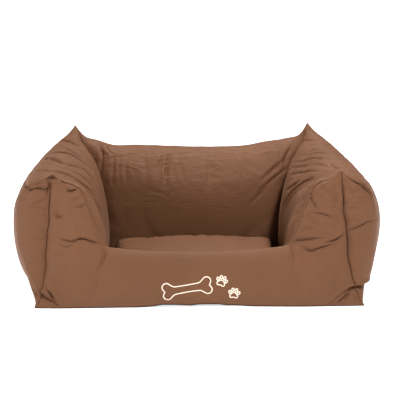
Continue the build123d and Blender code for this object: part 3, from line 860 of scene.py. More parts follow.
def bunch_corners(panels):
    """Presses the deep folds at a front corner, in both panels that meet there."""
    for end, reach, width, depth, overhang, course in CORNER_FOLDS:
        line = picture_line(course)
        middle = line[len(line) // 2]
        way = np.array([end, -1, 0.0]) / math.sqrt(2)
        front = panels["front", "outer"]
        places = picture_places(front)
        start = front[np.unravel_index(np.linalg.norm(places - middle, axis=-1).argmin(), front.shape[:2])]
        for key in (("front", "outer"), ("right" if end > 0 else "left", "outer")):
            grid = panels[key]
            spread = np.linalg.norm(grid - start, axis=-1) / (reach * MM)
            near = spread < 2
            flat = np.broadcast_to((0, 0, 1.0), grid[near].shape)
            best, side, reached = beside_line(picture_places(grid[near]), flat, line)
            above = np.maximum(side, 0) / width
            form = overhang * MM * np.exp(-(above - 1.3) ** 2) * (side > 0)
            form -= depth * MM * np.where(side > 0, np.exp(-(above / 0.35) ** 2),
                                          np.exp(-(best / (2.0 * width)) ** 1.6))
            form *= np.sin(math.pi * np.clip(0.10 + 0.85 * reached, 0, 1)) ** 0.6
            form *= np.exp(-spread[near] ** 4) * fade(grid[near][:, 2] - FOOT_Z, 0.006)
            grid[near] += way * form[:, None]
    return panels


def picture_line(course):
    """A smooth line through pixels, counted upwards."""
    line = np.array([(x, -y, 0.0) for x, y in course])
    return resampled(line, np.linspace(0, len(line) - 1, 4 * len(line)), 0)


def picture_places(points):
    """Where the camera sees points, in pixels counted upwards, with 0 as the third number."""
    view = settings("stage")
    right, up, ahead = (np.array(axis) for axis in camera_axes())
    away = points - np.array(view.camera_place)
    scale = view.focal_pixels / (away @ ahead)
    middle = PICTURE_SIZE / 2
    return np.stack([middle + scale * (away @ right), scale * (away @ up) - middle, 0 * scale], -1)


def beside_line(points, normals, line):
    """Distance of points from a line, their place to its left, and the share of its length passed there."""
    best, side, reached = np.full(len(points), 1e9), np.zeros(len(points)), np.zeros(len(points))
    steps = np.linalg.norm(np.diff(line, axis=0), axis=1)
    passed = np.r_[0, np.cumsum(steps)] / steps.sum()
    for index, (a, b) in enumerate(zip(line[:-1], line[1:])):
        way = b - a
        share = np.clip(((points - a) @ way) / steps[index] ** 2, 0, 1)
        off = points - (a + share[:, None] * way)
        distance = np.linalg.norm(off, axis=1)
        nearer = distance < best
        signed = np.einsum("nx,nx->n", np.cross(way, off), normals) / steps[index]
        best = np.where(nearer, distance, best)
        side = np.where(nearer, signed, side)
        reached = np.where(nearer, passed[index] + share * (passed[index + 1] - passed[index]), reached)
    return best, side, reached


def near_line(grid, line, reach):
    """Which points of a grid may be within reach of a line."""
    low, high = line.min(0) - reach, line.max(0) + reach
    return ((grid > low) & (grid < high)).all(-1)


def press_fold(grid, normals, line, width, depth, ridge):
    """Heights of one fold over a panel: a valley along a line, and a ridge on its left side."""
    height = np.zeros(grid.shape[:2])
    near = near_line(grid, line, 5 * width)
    best, side, reached = beside_line(grid[near], normals[near], line)
    taper = np.sin(math.pi * np.clip(0.04 + 0.92 * reached, 0, 1)) ** 0.7
    beyond = np.sqrt(np.maximum(best ** 2 - side ** 2, 0))
    taper *= np.exp(-(beyond / width) ** 2)
    crest = 0.5 * ridge * np.exp(-((side - 2.2 * width) / (1.7 * width)) ** 2)
    height[near] = (crest - depth * np.exp(-np.abs(side / width) ** 1.35)) * taper
    return height


# The folds of the inner panels are softer than those of the outer ones
INNER_WIDER, INNER_DEEPER = 1.5, 0.95


def fold_panels(panels):
    """Adds the larger folds, each at its own place, and leaves the seams where they are."""
    for key, grid in panels.items():
        if key not in FOLDS:
            continue
        normals = grid_normals(grid)
        along, across = lengths_along(grid, 0), lengths_along(grid, 1)
        nearest = np.min([along, along[-1:] - along, across, across[:, -1:] - across], axis=0)
        height = np.zeros(grid.shape[:2])
        wider, deeper = settings("cover").fold_width * MM, settings("cover").fold_depth * MM
        if key[1] == "inner":
            wider, deeper = INNER_WIDER * wider, INNER_DEEPER * deeper
        for width, depth, ridge, pixels in FOLDS[key]:
            line = spots_on(grid, normals, pixels)
            height += press_fold(grid, normals, line, width * wider, depth * deeper, ridge * deeper)
        panels[key] = grid + normals * (height * fade(nearest, 0.005))[..., None]
    return panels


def lift_front(panels):
    """The front edge of the base stands off the floor a little in its middle, in small waves."""
    sizes = settings("cover")
    for layer in ("outer", "inner"):
        grid = panels["front", layer]
        x = grid[..., 0]
        share = fade(x + 0.155, 0.09) * fade(0.145 - x, 0.09)
        share *= 1 + 0.22 * np.sin(x * 61) + 0.12 * np.sin(x * 137 + 1)
        low = np.exp(-((grid[..., 2] - FOOT_Z) / 0.03) ** 2)
        outer = np.clip((-0.25 - grid[..., 1]) / 0.05, 0, 1)
        grid[..., 2] += sizes.front_lift * share * low * outer
    return panels


class DOGBED_OT_cover(bpy.types.Operator):
    """Cuts, sews and settles the cover of the four walls"""

    bl_idname = "dogbed.cover"
    bl_label = "Sewn cover"

    def execute(self, context):
        ring, starts = cover_ring()
        panels = draw_in_seams(split_panels(ring, starts))
        panels = pull_to_shape(panels)
        smooth = {key: grid.copy() for key, grid in panels.items()}
        panels = lift_front(bunch_corners(fold_panels(panels)))
        made["smooth"] = lift_front(smooth)
        made["panels"] = panels
        brown = brown_cloth("brown_cloth", settings("cover").colour)
        made["brown"] = brown
        for (side, layer), grid in panels.items():
            along, across = lengths_along(grid, 0), lengths_along(grid, 1)
            middle = grid.shape[1] // 2
            uvs = np.stack([np.broadcast_to(along[:, middle:middle + 1], across.shape), across], -1)
            name = side + "_" + layer
            piece = cloth_piece(name + "_cloth", grid, grid_faces(*grid.shape[:2]), uvs, brown, BED,
                                "brown_cloth", name + "_panel")
            declare_cut(side, layer)
        return {"FINISHED"}


def declare_cut(side, layer):
    """Works out the flat pattern that a panel was cut to, before it settles; nothing is done with it."""
    sizes = settings("cover")
    grid = wall_grid(side, even_places(side, sizes.cell))
    grid = grid[:, :sizes.outer_cells + 1] if layer == "outer" else grid[:, sizes.outer_cells:]


# Stuffing

def whole_wall(panels, side):
    """Both panels of a wall as one grid, from the outer foot over the seam to the inner foot."""
    return np.concatenate([panels[side, "outer"], panels[side, "inner"][:, 1:]], 1)


def lowest_nearby(height, reach):
    """The lowest value within a few points, for each point of a grid."""
    for axis in (0, 1):
        size = height.shape[axis]
        padded = height.take(np.clip(np.arange(-reach, size + reach), 0, size - 1), axis)
        shifted = [padded.take(range(step, step + size), axis) for step in range(2 * reach + 1)]
        height = np.min(shifted, axis=0)
    return height


EDGE_ROOM = 0.009              # how much deeper the stuffing lies along the seams, in metres
END_ROWS = 14                  # rows of the wall's grid that its stuffing stops short of each corner


def wall_stuffing(side):
    """The wall's stuffing: a closed form under its cloth, deeper wherever the cloth has a seam or a fold."""
    wall, folded = whole_wall(made["smooth"], side), whole_wall(made["panels"], side)
    depth = -lowest_nearby(np.einsum("uvx,uvx->uv", folded - wall, grid_normals(wall)), 3)
    room = settings("cover").stuffing_gap + np.maximum(depth, 0)
    seam = wall[:, made["panels"][side, "outer"].shape[1] - 1][:, None]
    for line, reach in ((seam, 0.018), (wall[:1], 0.050), (wall[-1:], 0.050)):
        room += EDGE_ROOM * np.exp(-(np.linalg.norm(wall - line, axis=-1) / reach) ** 2)
    inwards = wall.mean(1, keepdims=True) - wall
    length = np.maximum(np.linalg.norm(inwards, axis=-1), 1e-6)
    slope = np.maximum(-np.einsum("uvx,uvx->uv", inwards, grid_normals(wall)) / length, 0.5)
    grid = wall + inwards * np.minimum(room / (slope * length), 0.6)[..., None]
    grid = grid[END_ROWS:-END_ROWS:2]
    grid = np.concatenate([grid[:, ::2], grid[:, -1:]], 1) if grid.shape[1] % 2 == 0 else grid[:, ::2]
    grid[..., 2] = np.maximum(grid[..., 2], FOOT_Z + 0.0006)
    shares = np.linspace(0, 1, 8)[1:-1]
    under = grid[:, -1:] + (grid[:, :1] - grid[:, -1:]) * shares[None, :, None]
    loop = np.concatenate([grid, under], 1)
    centres = np.stack([loop[0].mean(0), loop[-1].mean(0)])
    table = np.arange(loop[..., 0].size).reshape(loop.shape[:2])
    table = np.c_[table, table[:, :1]]
    start = [[table[-1, -2] + 1, a, b] for a, b in zip(table[0], table[0, 1:])]
    end = [[table[-1, -2] + 2, b, a] for a, b in zip(table[-1], table[-1, 1:])]
    return mesh_object(side + "_stuffing", np.concatenate([loop.reshape(-1, 3), centres]),
                       table_faces(table).tolist() + start + end)


class DOGBED_OT_stuffing(bpy.types.Operator):
    """Fills the walls and pads the base"""

    bl_idname = "dogbed.stuffing"
    bl_label = "Stuffing"

    def execute(self, context):
        fibre = fibre_fill("stuffing")
        made["fibre"] = fibre
        for side in SIDES:
            piece = wall_stuffing(side)
            finish_piece(piece, fibre, BED, "stuffing", side + "_filling")
        low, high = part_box("base_wadding")
        piece = pad_slab("base_wadding_pad", low + Vector((0, 0, 0.0002)), high - Vector((0, 0, 0.0032)))
        finish_piece(piece, fibre, BED, "stuffing", "base_wadding")
        return {"FINISHED"}


def level_grid(low, high, cell):
    """Level points that fill a box, seen from above, and their distance from its edge."""
    across, deep = int((high.x - low.x) / cell), int((high.y - low.y) / cell)
    x, y = np.meshgrid(np.linspace(low.x, high.x, across + 1), np.linspace(low.y, high.y, deep + 1),
                       indexing="ij")
    edge = np.minimum(np.minimum(x - low.x, high.x - x), np.minimum(y - low.y, high.y - y))
    return np.stack([x, y], -1), edge


def pad_slab(name, low, high):
    """A thin pad with rounded edges and a slightly uneven top."""
    flat, edge = level_grid(low, high, 0.012)
    half = (high.z - low.z) / 2
    rise = np.sqrt(1 - (1 - np.clip(edge / (half * 1.6), 0, 1)) ** 2)
    dents = 0.0008 * (soft_noise(flat, 0.07, 3) - 1)
    top = np.concatenate([flat, (low.z + half + half * rise + dents * rise)[..., None]], -1)
    bottom = np.concatenate([flat, (low.z + half - half * rise)[..., None]], -1)
    faces = grid_faces(*edge.shape)
    piece = mesh_object(name, np.concatenate([top.reshape(-1, 3), bottom.reshape(-1, 3)]),
                        np.concatenate([faces, faces[:, ::-1] + edge.size]))
    mesh = bmesh.new()
    mesh.from_mesh(piece.data)
    bmesh.ops.remove_doubles(mesh, verts=mesh.verts, dist=0.00005)
    mesh.to_mesh(piece.data)
    mesh.free()
    piece.data.update()
    return piece


# The base: black cloth underneath, and the floor of the well

# Rings of the underside, by how far they lie inside the foot of the outer panels
BASE_INSETS = (-0.0012, 0.0, 0.004, 0.010, 0.018, 0.030, 0.045, 0.07, 0.10, 0.14, 0.19, 0.25)


class DOGBED_OT_base(bpy.types.Operator):
    """Makes the black underside and the floor of the well"""

    bl_idname = "dogbed.base"
    bl_label = "Base"

    def execute(self, context):
        black = brown_cloth("black_cloth", (0.012, 0.012, 0.013), threads=900.0, rumple=0.2)
        rim = np.concatenate([made["panels"][side, "outer"][:-1:2, 0] for side in SIDES])
        reach = np.linalg.norm(rim[:, :2], axis=1)
        level = FOOT_Z - 0.0001
        rings = []
        for inset in BASE_INSETS:
            flat = rim[:, :2] * (1 - inset / np.maximum(reach, 0.001))[:, None]
            lift = (rim[:, 2] - FOOT_Z) * (1 - fade(np.array(inset), 0.034))
            rings.append(np.c_[flat, level + lift])
        rings = np.stack(rings, 1)
        count = len(rim)
        points = np.concatenate([rings.reshape(-1, 3), [[0, 0, level]]])
        across = len(BASE_INSETS)
        faces = grid_faces(count, across, closed=True).tolist()
        faces += [[i * across + across - 1, ((i + 1) % count) * across + across - 1, count * across]
                  for i in range(count)]
        piece = cloth_piece("base_cloth", points, faces, points[:, :2], black, BED, "black_cloth",
                            "base_cover")
        self.floor()
        return {"FINISHED"}

    def floor(self):
        """The lining on the floor of the well, tucked down at the walls' feet."""
        low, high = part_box("floor_panel")
        tuck = Vector((0.004, 0.004, 0))
        low, high = low - tuck, high + tuck
        flat, near = level_grid(low, high, 0.006)
        waves = 0.0012 * (soft_noise(flat, 0.10, 8) - 1) * fade(near, 0.03)
        quilting = 0.0014 * np.exp(-((near - 0.012) / 0.003) ** 2)
        z = high.z + np.minimum(waves, 0) - quilting - 0.0095 * (1 - fade(near, 0.009))
        piece = cloth_piece("well_floor_cloth", np.concatenate([flat, z[..., None]], -1),
                            grid_faces(*near.shape), flat, made["brown"], BED, "brown_cloth", "floor_panel")


# The loose cushion

CUSHION_LOW, CUSHION_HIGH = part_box("cushion_border")
CUSHION_TOP = CUSHION_HIGH.z
CUSHION_BOTTOM = CUSHION_LOW.z
CUSHION_LOWEST = CUSHION_BOTTOM - 0.0095
CUSHION_HALF, CUSHION_FRONT, CUSHION_REAR = 0.225, -0.173, 0.134
ZIP_FACE = 0.125
ZIP_Z = 0.0402
ZIP_HALF = 0.180
SLOT_HALF = 0.0075
BORDER_CELLS = 6


def cushion_sides(cells_x, cells_y):
    """The four sides of the cushion from above, drawn in between the corners."""
    sizes = settings("cushion")
    x, front, rear = CUSHION_HALF, CUSHION_FRONT, CUSHION_REAR
    draw = sizes.draw_in
    s = np.linspace(0, 1, cells_x + 1)
    t = np.linspace(0, 1, cells_y + 1)
    bow_s, bow_t = 4 * s * (1 - s), 4 * t * (1 - t)
    across = -x + 2 * x * s
    front_side = np.stack([across, front + draw * bow_s], 1)
    drawn = (rear - ZIP_FACE) * fade(x - np.abs(across), 0.026)
    rear_side = np.stack([across, rear - drawn], 1)
    deep = front + (rear - front) * t
    right_side, left_side = np.stack([x - draw * bow_t, deep], 1), np.stack([-x + draw * bow_t, deep], 1)
    return front_side, right_side, rear_side, left_side


def cushion_pattern(cells_x, cells_y, rows):
    """Points, faces and index tables of the closed cover: a top, a bottom and a border."""
    sizes = settings("cushion")
    front, right, rear, left = cushion_sides(cells_x, cells_y)
    s = np.linspace(0, 1, cells_x + 1)[:, None, None]
    t = np.linspace(0, 1, cells_y + 1)[None, :, None]
    flat = ((1 - t) * front[:, None] + t * rear[:, None] + (1 - s) * left[None] + s * right[None]
            - (1 - s) * (1 - t) * front[0] - s * (1 - t) * front[-1]
            - (1 - s) * t * rear[0] - s * t * rear[-1])
    dome = (np.sin(math.pi * s[..., 0]) * np.sin(math.pi * t[..., 0])) ** 0.52
    top = np.concatenate([flat, (CUSHION_TOP + sizes.crown * dome)[..., None]], -1)
    lowest = np.maximum(CUSHION_BOTTOM - 0.0125 * dome, CUSHION_LOWEST)
    bottom = np.concatenate([flat, lowest[..., None]], -1)
    count = (cells_x + 1) * (cells_y + 1)
    table = np.arange(count).reshape(cells_x + 1, cells_y + 1)
    around = np.concatenate([table[:-1, 0], table[-1, :-1], table[:0:-1, -1], table[0, :0:-1]])
    points = [top.reshape(-1, 3), bottom.reshape(-1, 3)]
    rings = [around + count]
    start = 2 * count
    edge_top, edge_bottom = top.reshape(-1, 3)[around], bottom.reshape(-1, 3)[around]
    centre = edge_top[:, :2].mean(0)
    outwards = edge_top[:, :2] - centre
    outwards /= np.linalg.norm(outwards, axis=1, keepdims=True)
    zip_share = zip_straight(edge_top)
    for row in range(1, rows):
        share = row / rows
        ring = edge_bottom + (edge_top - edge_bottom) * share
        ring[:, :2] += outwards * (0.0035 * 4 * share * (1 - share) * (1 - zip_share))[:, None]
        points.append(ring)
        rings.append(np.arange(start, start + len(around)))
        start += len(around)
    rings.append(around)
    rings = np.stack(rings, 1)
    return np.concatenate(points), cushion_faces(table, rings), table, rings


def cushion_faces(table, rings):
    """Quads of the top, of the bottom under it and of the border between them."""
    top = table_faces(table)
    return np.concatenate([top, top[:, ::-1] + table.size, table_faces(rings, closed=True)])


def zip_straight(points):
    """1 where the border runs straight along the zip, 0 well away from it."""
    return (points[:, 1] > 0.11) * (1 - fade(np.abs(points[:, 0]) - 0.183, 0.016))


def settled_cushion():
    """The cushion's cover after it has settled: the top and bottom grids and the border's ring."""
    sizes = settings("cushion")
    cells_x = sizes.cells
    cells_y = int(cells_x * 0.68)
    points, faces, table, rings = cushion_pattern(cells_x, cells_y, BORDER_CELLS)
    pinned = np.zeros(len(points), bool)
    border = rings.ravel()
    pinned[border] = zip_straight(points[border]) > 0.99
    random = np.random.RandomState(9)
    start = points + random.normal(0, 0.0003, points.shape) * ~pinned[:, None]
    moved = settle("cushion_pattern", start, faces, pinned, sizes.ease, sizes.pressure, sizes.frames)
    moves = moved - points
    edges = np.concatenate([faces[:, [corner, (corner + 1) % 4]] for corner in range(4)])
    slow = moves.copy()
    total = np.bincount(edges[:, 0], minlength=len(points))[:, None]
    for step in range(60):
        sums = np.stack([np.bincount(edges[:, 0], slow[edges[:, 1], axis], len(points))
                         for axis in range(3)], 1)
        slow = sums / total
        slow[pinned] = 0
    points = points + limited(moves - 0.9 * slow, 0.007)
    points[:, 2] = np.maximum(points[:, 2], CUSHION_LOWEST)
    return points[table], points[table + table.size], points[rings], (cells_x, cells_y)


class DOGBED_OT_cushion(bpy.types.Operator):
    """Sews and fills the loose cushion"""

    bl_idname = "dogbed.cushion"
    bl_label = "Cushion"

    def execute(self, context):
        sizes = settings("cushion")
        top, bottom, ring, (cells_x, cells_y) = settled_cushion()
        closed = np.concatenate([ring, ring[:1]])
        corners = np.cumsum([0, cells_x, cells_y, cells_x, cells_y])
        x_places, y_places = fine_places(cells_x), fine_places(cells_y)
        strips = []
        for index, (start, end) in enumerate(zip(corners[:-1], corners[1:])):
            strip = resampled(closed[start:end + 1], x_places if index % 2 == 0 else y_places, 0)
            strips.append(resampled(strip, np.arange(0, BORDER_CELLS + 0.01, 0.5), 1))
        border = np.concatenate([strip[:-1] for strip in strips])
        top = resampled(resampled(top, x_places, 0), y_places, 1)
        bottom = resampled(resampled(bottom, x_places, 0), y_places, 1)
        top_out = grid_normals(top)
        bottom_out = -grid_normals(bottom)
        edge_out = np.stack([self.rim(top_out), self.rim(bottom_out)])
        border_out = grid_normals(border)
        border_out[0] = border_out[-1] = border_out[1]
        seam_out = edge_out + border_out[:, [-1, 0]].transpose(1, 0, 2)
        seam_out /= np.linalg.norm(seam_out, axis=-1, keepdims=True)
        straight = zip_straight(self.rim(top))
        depth = sizes.seam_depth * (1 - 0.6 * straight)
        top = self.drawn(top, seam_out[0], depth)
        bottom = self.drawn(bottom, seam_out[1], depth)
        height = lengths_along(border, 1)
        for seam, distance in ((0, height[:, -1:] - height), (1, height)):
            groove = depth[:, None] * np.exp(-(distance / sizes.seam_reach) ** 2)
            border = border - seam_out[seam][:, None] * groove[..., None]
        self.face("top", top, False, ["cushion_fill"])
        self.face("bottom", bottom, True, ["well_floor_cloth"])
        self.border_piece(border)
        self.filling(top, bottom, border)
        return {"FINISHED"}

    def rim(self, grid):
        """The edge points of a grid in the order of the border's ring."""
        return np.concatenate([grid[:-1, 0], grid[-1, :-1], grid[:0:-1, -1], grid[0, :0:-1]])

    def drawn(self, grid, out, depth):
        """A panel pulled in along its own edge."""
        reach = settings("cushion").seam_reach
        nx, ny = grid.shape[0] - 1, grid.shape[1] - 1
        along, across = lengths_along(grid, 0), lengths_along(grid, 1)
        rim = np.c_[out, depth]
        rim = np.r_[rim, rim[:1]]
        sides = [(across, rim[:nx + 1][:, None]), (along[-1:] - along, rim[nx:nx + ny + 1][None]),
                 (across[:, -1:] - across, rim[nx + ny:2 * nx + ny + 1][::-1][:, None]),
                 (along, rim[2 * nx + ny:][::-1][None])]
        pull = np.zeros_like(grid)
        most = np.zeros(grid.shape[:2])
        for distance, edge in sides:
            groove = edge[..., 3] * np.exp(-(distance / reach) ** 2)
            pull = np.where((groove > most)[..., None], edge[..., :3] * groove[..., None], pull)
            most = np.maximum(most, groove)
        return grid - pull

    def face(self, name, grid, flip, rests_on):
        """The cushion's top or bottom."""
        along, across = lengths_along(grid, 0), lengths_along(grid, 1)
        faces = grid_faces(*grid.shape[:2], flip=flip)
        piece = cloth_piece("cushion_%s_cloth" % name, grid, faces, np.stack([along, across], -1),
                            made["brown"], CUSHION, "brown_cloth", "cushion_%s_panel" % name)

    def border_piece(self, border):
        """The strip round the cushion, with the slot for the zip cut out of it."""
        count, rows = border.shape[:2]
        length = length_passed(border[:, rows // 2])
        height = lengths_along(border, 1)
        uvs = np.stack([np.broadcast_to(length[:, None], height.shape), height], -1)
        faces = grid_faces(count, rows, closed=True)
        middle = border.reshape(-1, 3)[faces].mean(1)
        slot = ((middle[:, 1] > 0.12) & (np.abs(middle[:, 0]) < ZIP_HALF)
                & (np.abs(middle[:, 2] - ZIP_Z) < SLOT_HALF))
        piece = cloth_piece("cushion_border_cloth", border, faces[~slot], uvs, made["brown"], CUSHION,
                            "brown_cloth", "cushion_border")

    def filling(self, top, bottom, border):
        """The cushion's stuffing: the cover's form, brought in, with room behind the zip."""
        gap = settings("cover").stuffing_gap
        top, bottom, ring = top[::2, ::2], bottom[::2, ::2], border[::2, ::2]
        table = np.arange(top[..., 0].size).reshape(top.shape[:2])
        around = self.rim(table)
        count = table.size
        points = np.concatenate([top.reshape(-1, 3), bottom.reshape(-1, 3), ring[:, 1:-1].reshape(-1, 3)])
        inner = np.arange(ring[:, 1:-1, 0].size).reshape(len(ring), -1) + 2 * count
        rings = np.concatenate([around[:, None] + count, inner, around[:, None]], 1)
        piece = mesh_object("cushion_fill", points, cushion_faces(table, rings))
        out = np.array([vertex.normal for vertex in piece.data.vertices])
        points = points - out * gap
        flat = points[:, :2]
        middle, half = (flat.max(0) + flat.min(0)) / 2, (flat.max(0) - flat.min(0)) / 2
        corner = (np.abs(flat - middle) / half).prod(1) ** 6
        points[:, :2] = middle + (flat - middle) * (1 - 0.06 * corner)[:, None]
        x, y, z = points.T
        near = (1 - fade(np.abs(z - ZIP_Z) - 0.011, 0.006)) * (1 - fade(np.abs(x) - 0.184, 0.006))
        limit = ZIP_FACE - 0.0022 - 0.0075 * near
        points[:, 1] = np.where((y > 0.09) & (near > 0), np.minimum(y, limit), y)
        piece.data.vertices.foreach_set("co", points.astype(np.float32).ravel())
        piece.data.update()
        finish_piece(piece, made["fibre"], CUSHION, "stuffing", "cushion_filling")


# Thread, teeth and dots: small beads set along paths by Geometry Nodes

@cache
def beads_tree():
    """Beads of one size, spaced evenly along the paths and turned with them."""
    tree, source, target = group_with(
        "Beads along paths",
        [("Paths", "Geometry", None), ("Pitch", "Float", 0.0046),
         ("Half size", "Vector", (0.0017, 0.0003, 0.0003)), ("Sides", "Int", 6),
         ("Material", "Material", None)],
        [("Beads", "Geometry")], "GeometryNodeTree")

    def step(kind, links, **values):
        node = tree.nodes.new(kind)
        for name, value in values.items():
            setattr(node, name, value)
        for socket, value in links.items():
            if isinstance(value, (int, float, tuple)):
                node.inputs[socket].default_value = value
            else:
                tree.links.new(value, node.inputs[socket])
        return node

    curve = step("GeometryNodeMeshToCurve", {"Mesh": source.outputs["Paths"]})
    even = step("GeometryNodeResampleCurve", {"Curve": curve.outputs[0], "Length": source.outputs["Pitch"]},
                mode="LENGTH")
    points = step("GeometryNodeCurveToPoints", {"Curve": even.outputs[0]}, mode="EVALUATED")
    turn = step("FunctionNodeAlignRotationToVector", {"Vector": points.outputs["Tangent"]}, axis="X")
    ball = step("GeometryNodeMeshUVSphere", {"Segments": source.outputs["Sides"], "Rings": 4, "Radius": 1.0})
    bead = step("GeometryNodeTransform", {"Geometry": ball.outputs["Mesh"],
                                          "Scale": source.outputs["Half size"]})
    placed = step("GeometryNodeInstanceOnPoints", {"Points": points.outputs["Points"],
                                                   "Instance": bead.outputs["Geometry"],
                                                   "Rotation": turn.outputs["Rotation"]})
    real = step("GeometryNodeRealizeInstances", {"Geometry": placed.outputs["Instances"]})
    smooth = step("GeometryNodeSetShadeSmooth", {"Geometry": real.outputs["Geometry"]})
    painted = step("GeometryNodeSetMaterial", {"Geometry": smooth.outputs["Geometry"],
                                               "Material": source.outputs["Material"]})
    tree.links.new(painted.outputs["Geometry"], target.inputs["Beads"])
    return tree


def beads(name, paths, pitch, half_size, material, sides=6):
    """A plain mesh of beads along rows of points. A path whose first and last points agree is a loop."""
    points, edges, start = [], [], 0
    for path in paths:
        path = [tuple(point) for point in path]
        points += path
        edges += [(start + index, start + index + 1) for index in range(len(path) - 1)]
        start += len(path)
    mesh = bpy.data.meshes.new(name + "_path")
    mesh.from_pydata(points, edges, [])
    piece = link(bpy.data.objects.new(name + "_path", mesh))
    modifier = piece.modifiers.new("Beads", "NODES")
    modifier.node_group = beads_tree()
    values = {"Pitch": pitch, "Half size": half_size, "Sides": sides, "Material": material}
    for item in modifier.node_group.interface.items_tree:
        if item.item_type == "SOCKET" and item.in_out == "INPUT" and item.name in values:
            modifier[item.identifier] = values[item.name]
    return plain_copy(piece, name)


def beside_seam(grid, distance):
    """The line at this distance from the first long edge of a panel."""
    return np.array([[np.interp(distance, reach, row[:, axis]) for axis in range(3)]
                     for row, reach in zip(grid, lengths_along(grid, 1))])


ENTRANCE_HALF = 0.292          # half the width of the edge with stitches beside it


class DOGBED_OT_stitching(bpy.types.Operator):
    """Sews the entrance edge, the floor of the well and the edge of the zip's slot, and sets the grip dots"""

    bl_idname = "dogbed.stitching"
    bl_label = "Stitching and grip dots"

    def execute(self, context):
        sizes = settings("trim")
        thread = sewing_thread("brown_thread")
        half = (sizes.stitch / 2, sizes.thread / 2, sizes.thread / 2)
        pitch = sizes.stitch + sizes.stitch_gap
        entrance = beside_seam(made["panels"]["front", "inner"], 0.0065)
        entrance = entrance[np.abs(entrance[:, 0]) < ENTRANCE_HALF]
        low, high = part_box("floor_panel")
        inset = 0.008
        level = high.z - 0.0022
        x = high.x - inset
        floor = [(across, deep, level) for across, deep in outline(x, low.y + inset, high.y - inset)]
        piece = beads("bed_stitches", [entrance, floor], pitch, half, thread)
        finish_piece(piece, thread, BED, "brown_cloth")
        out, up = ZIP_HALF + 0.0025, SLOT_HALF + 0.0025
        face = ZIP_FACE + 0.0001
        slot = [(across, face, z) for across, z in outline(out, ZIP_Z - up, ZIP_Z + up)]
        piece = beads("cushion_stitches", [slot], pitch, half, thread)
        finish_piece(piece, thread, CUSHION, "brown_cloth")
        step, margin = 0.052, 0.030
        across = int((BASE_HALF[0] - margin) / step) * step
        deep = int((BASE_HALF[1] - margin) / step)
        rows = [[(end * across, row * step, 0.0012) for end in (-1, 1)] for row in range(-deep, deep + 1)]
        rubber = soft_rubber("grip_rubber")
        piece = beads("grip_dots", rows, step, (0.004, 0.004, 0.0012), rubber, sides=16)
        finish_piece(piece, rubber, BED, "black_cloth")
        return {"FINISHED"}


# The zip

TAPE_CLOTH = 0.0006


def curved_piece(name, lines, closed, **values):
    """A plain mesh of smooth lines that a few points pull, with the curve's own values for its thickness."""
    curve = bpy.data.curves.new(name, "CURVE")
    for label, value in values.items():
        setattr(curve, label, value)
    for line in lines:
        spline = curve.splines.new("NURBS")
        spline.points.add(len(line) - 1)
        for point, place in zip(spline.points, line):
            point.co = (*place, 1)
        spline.order_u = 3
        spline.use_cyclic_u = closed
        spline.use_endpoint_u = not closed
    return plain_copy(link(bpy.data.objects.new(name + "_line", curve)), name)


class DOGBED_OT_zip(bpy.types.Operator):
    """Makes the zip's tapes, teeth and pull, and finishes its metal"""

    bl_idname = "dogbed.zip"
    bl_label = "Zip"

    def execute(self, context):
        sizes = settings("cushion")
        tape_material = brown_cloth("zip_tape", (0.075, 0.040, 0.026), threads=1900.0, rumple=0.1)
        nylon = moulded_nylon("zip_coil")
        metal = lacquered_zinc("zip_metal")
        for name, side in (("upper", 1), ("lower", -1)):
            low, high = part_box("zip_tape_" + name)
            behind = 0.0016                      # the tape reaches a little further behind the border
            low.z, high.z = low.z - behind * (side < 0), high.z + behind * (side > 0)
            x, z = np.meshgrid(np.linspace(low.x, high.x, 93), np.linspace(low.z, high.z, 7), indexing="ij")
            ribs = 0.00008 * np.sin((z - low.z) / (high.z - low.z) * math.pi * 4)
            points = np.stack([x, high.y + ribs, z], -1)
            piece = cloth_piece("zip_tape_cloth_" + name, points[::-1], grid_faces(*x.shape),
                                np.stack([x, z], -1), tape_material, CUSHION, "zip_tape", "zip_tape_" + name,
                                thickness=TAPE_CLOTH)
            low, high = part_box("zip_coil_" + name)
            middle = (low + high) / 2
            level = middle.z + side * 0.00005
            path = [(low.x, middle.y, level), (high.x, middle.y, level)]
            half = (sizes.tooth_pitch * 0.52, (high.y - low.y) / 2, 0.00135)
            teeth = beads("zip_teeth_" + name, [path], sizes.tooth_pitch, half, nylon, sides=8)
            finish_piece(teeth, nylon, CUSHION, "zip_coil", "zip_coil_" + name)
        for node in ("zip_stop_left", "zip_stop_right", "zip_slider"):
            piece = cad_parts[node]
            piece.data.materials.clear()
            piece.data.materials.append(metal)
        self.pull(metal)
        return {"FINISHED"}

    def pull(self, metal):
        """The pull: a tapered tongue with a hole, hanging from a small loop on the slider."""
        low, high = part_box("zip_slider")
        x, face, top = (low.x + high.x) / 2, high.y, (low.z + high.z) / 2 + 0.001
        tongue = [(-0.0019, 0), (0.0019, 0), (0.0027, -0.010), (0.0031, -0.019), (0.0018, -0.0225),
                  (-0.0018, -0.0225), (-0.0031, -0.019), (-0.0027, -0.010)]
        hole = [(-0.0010, -0.0155), (0.0010, -0.0155), (0.0012, -0.0195), (-0.0012, -0.0195)]
        lines = [[(across, up, 0) for across, up in line] for line in (tongue, hole)]
        piece = curved_piece("zip_pull", lines, True, dimensions="2D", fill_mode="BOTH", extrude=0.0003,
                             bevel_depth=0.00022, bevel_resolution=2)
        stand = Matrix.Rotation(math.pi / 2, 4, "X")
        piece.data.transform(Matrix.Translation((x, face + 0.0011, top - 0.0008)) @ stand)
        route = [(0.0, 0.0015), (0.0016, 0.0014), (0.0022, -0.0008), (0.0016, -0.0026), (0.0, -0.0024)]
        route = [(x, face - 0.0001 + out, top - 0.0005 + up) for out, up in route]
        loop = curved_piece("zip_loop", [route], False, dimensions="3D", bevel_depth=0.00055,
                            bevel_resolution=3)
        for part in (piece, loop):
            finish_piece(part, metal, "slider", "zip_metal")


# The print on the front

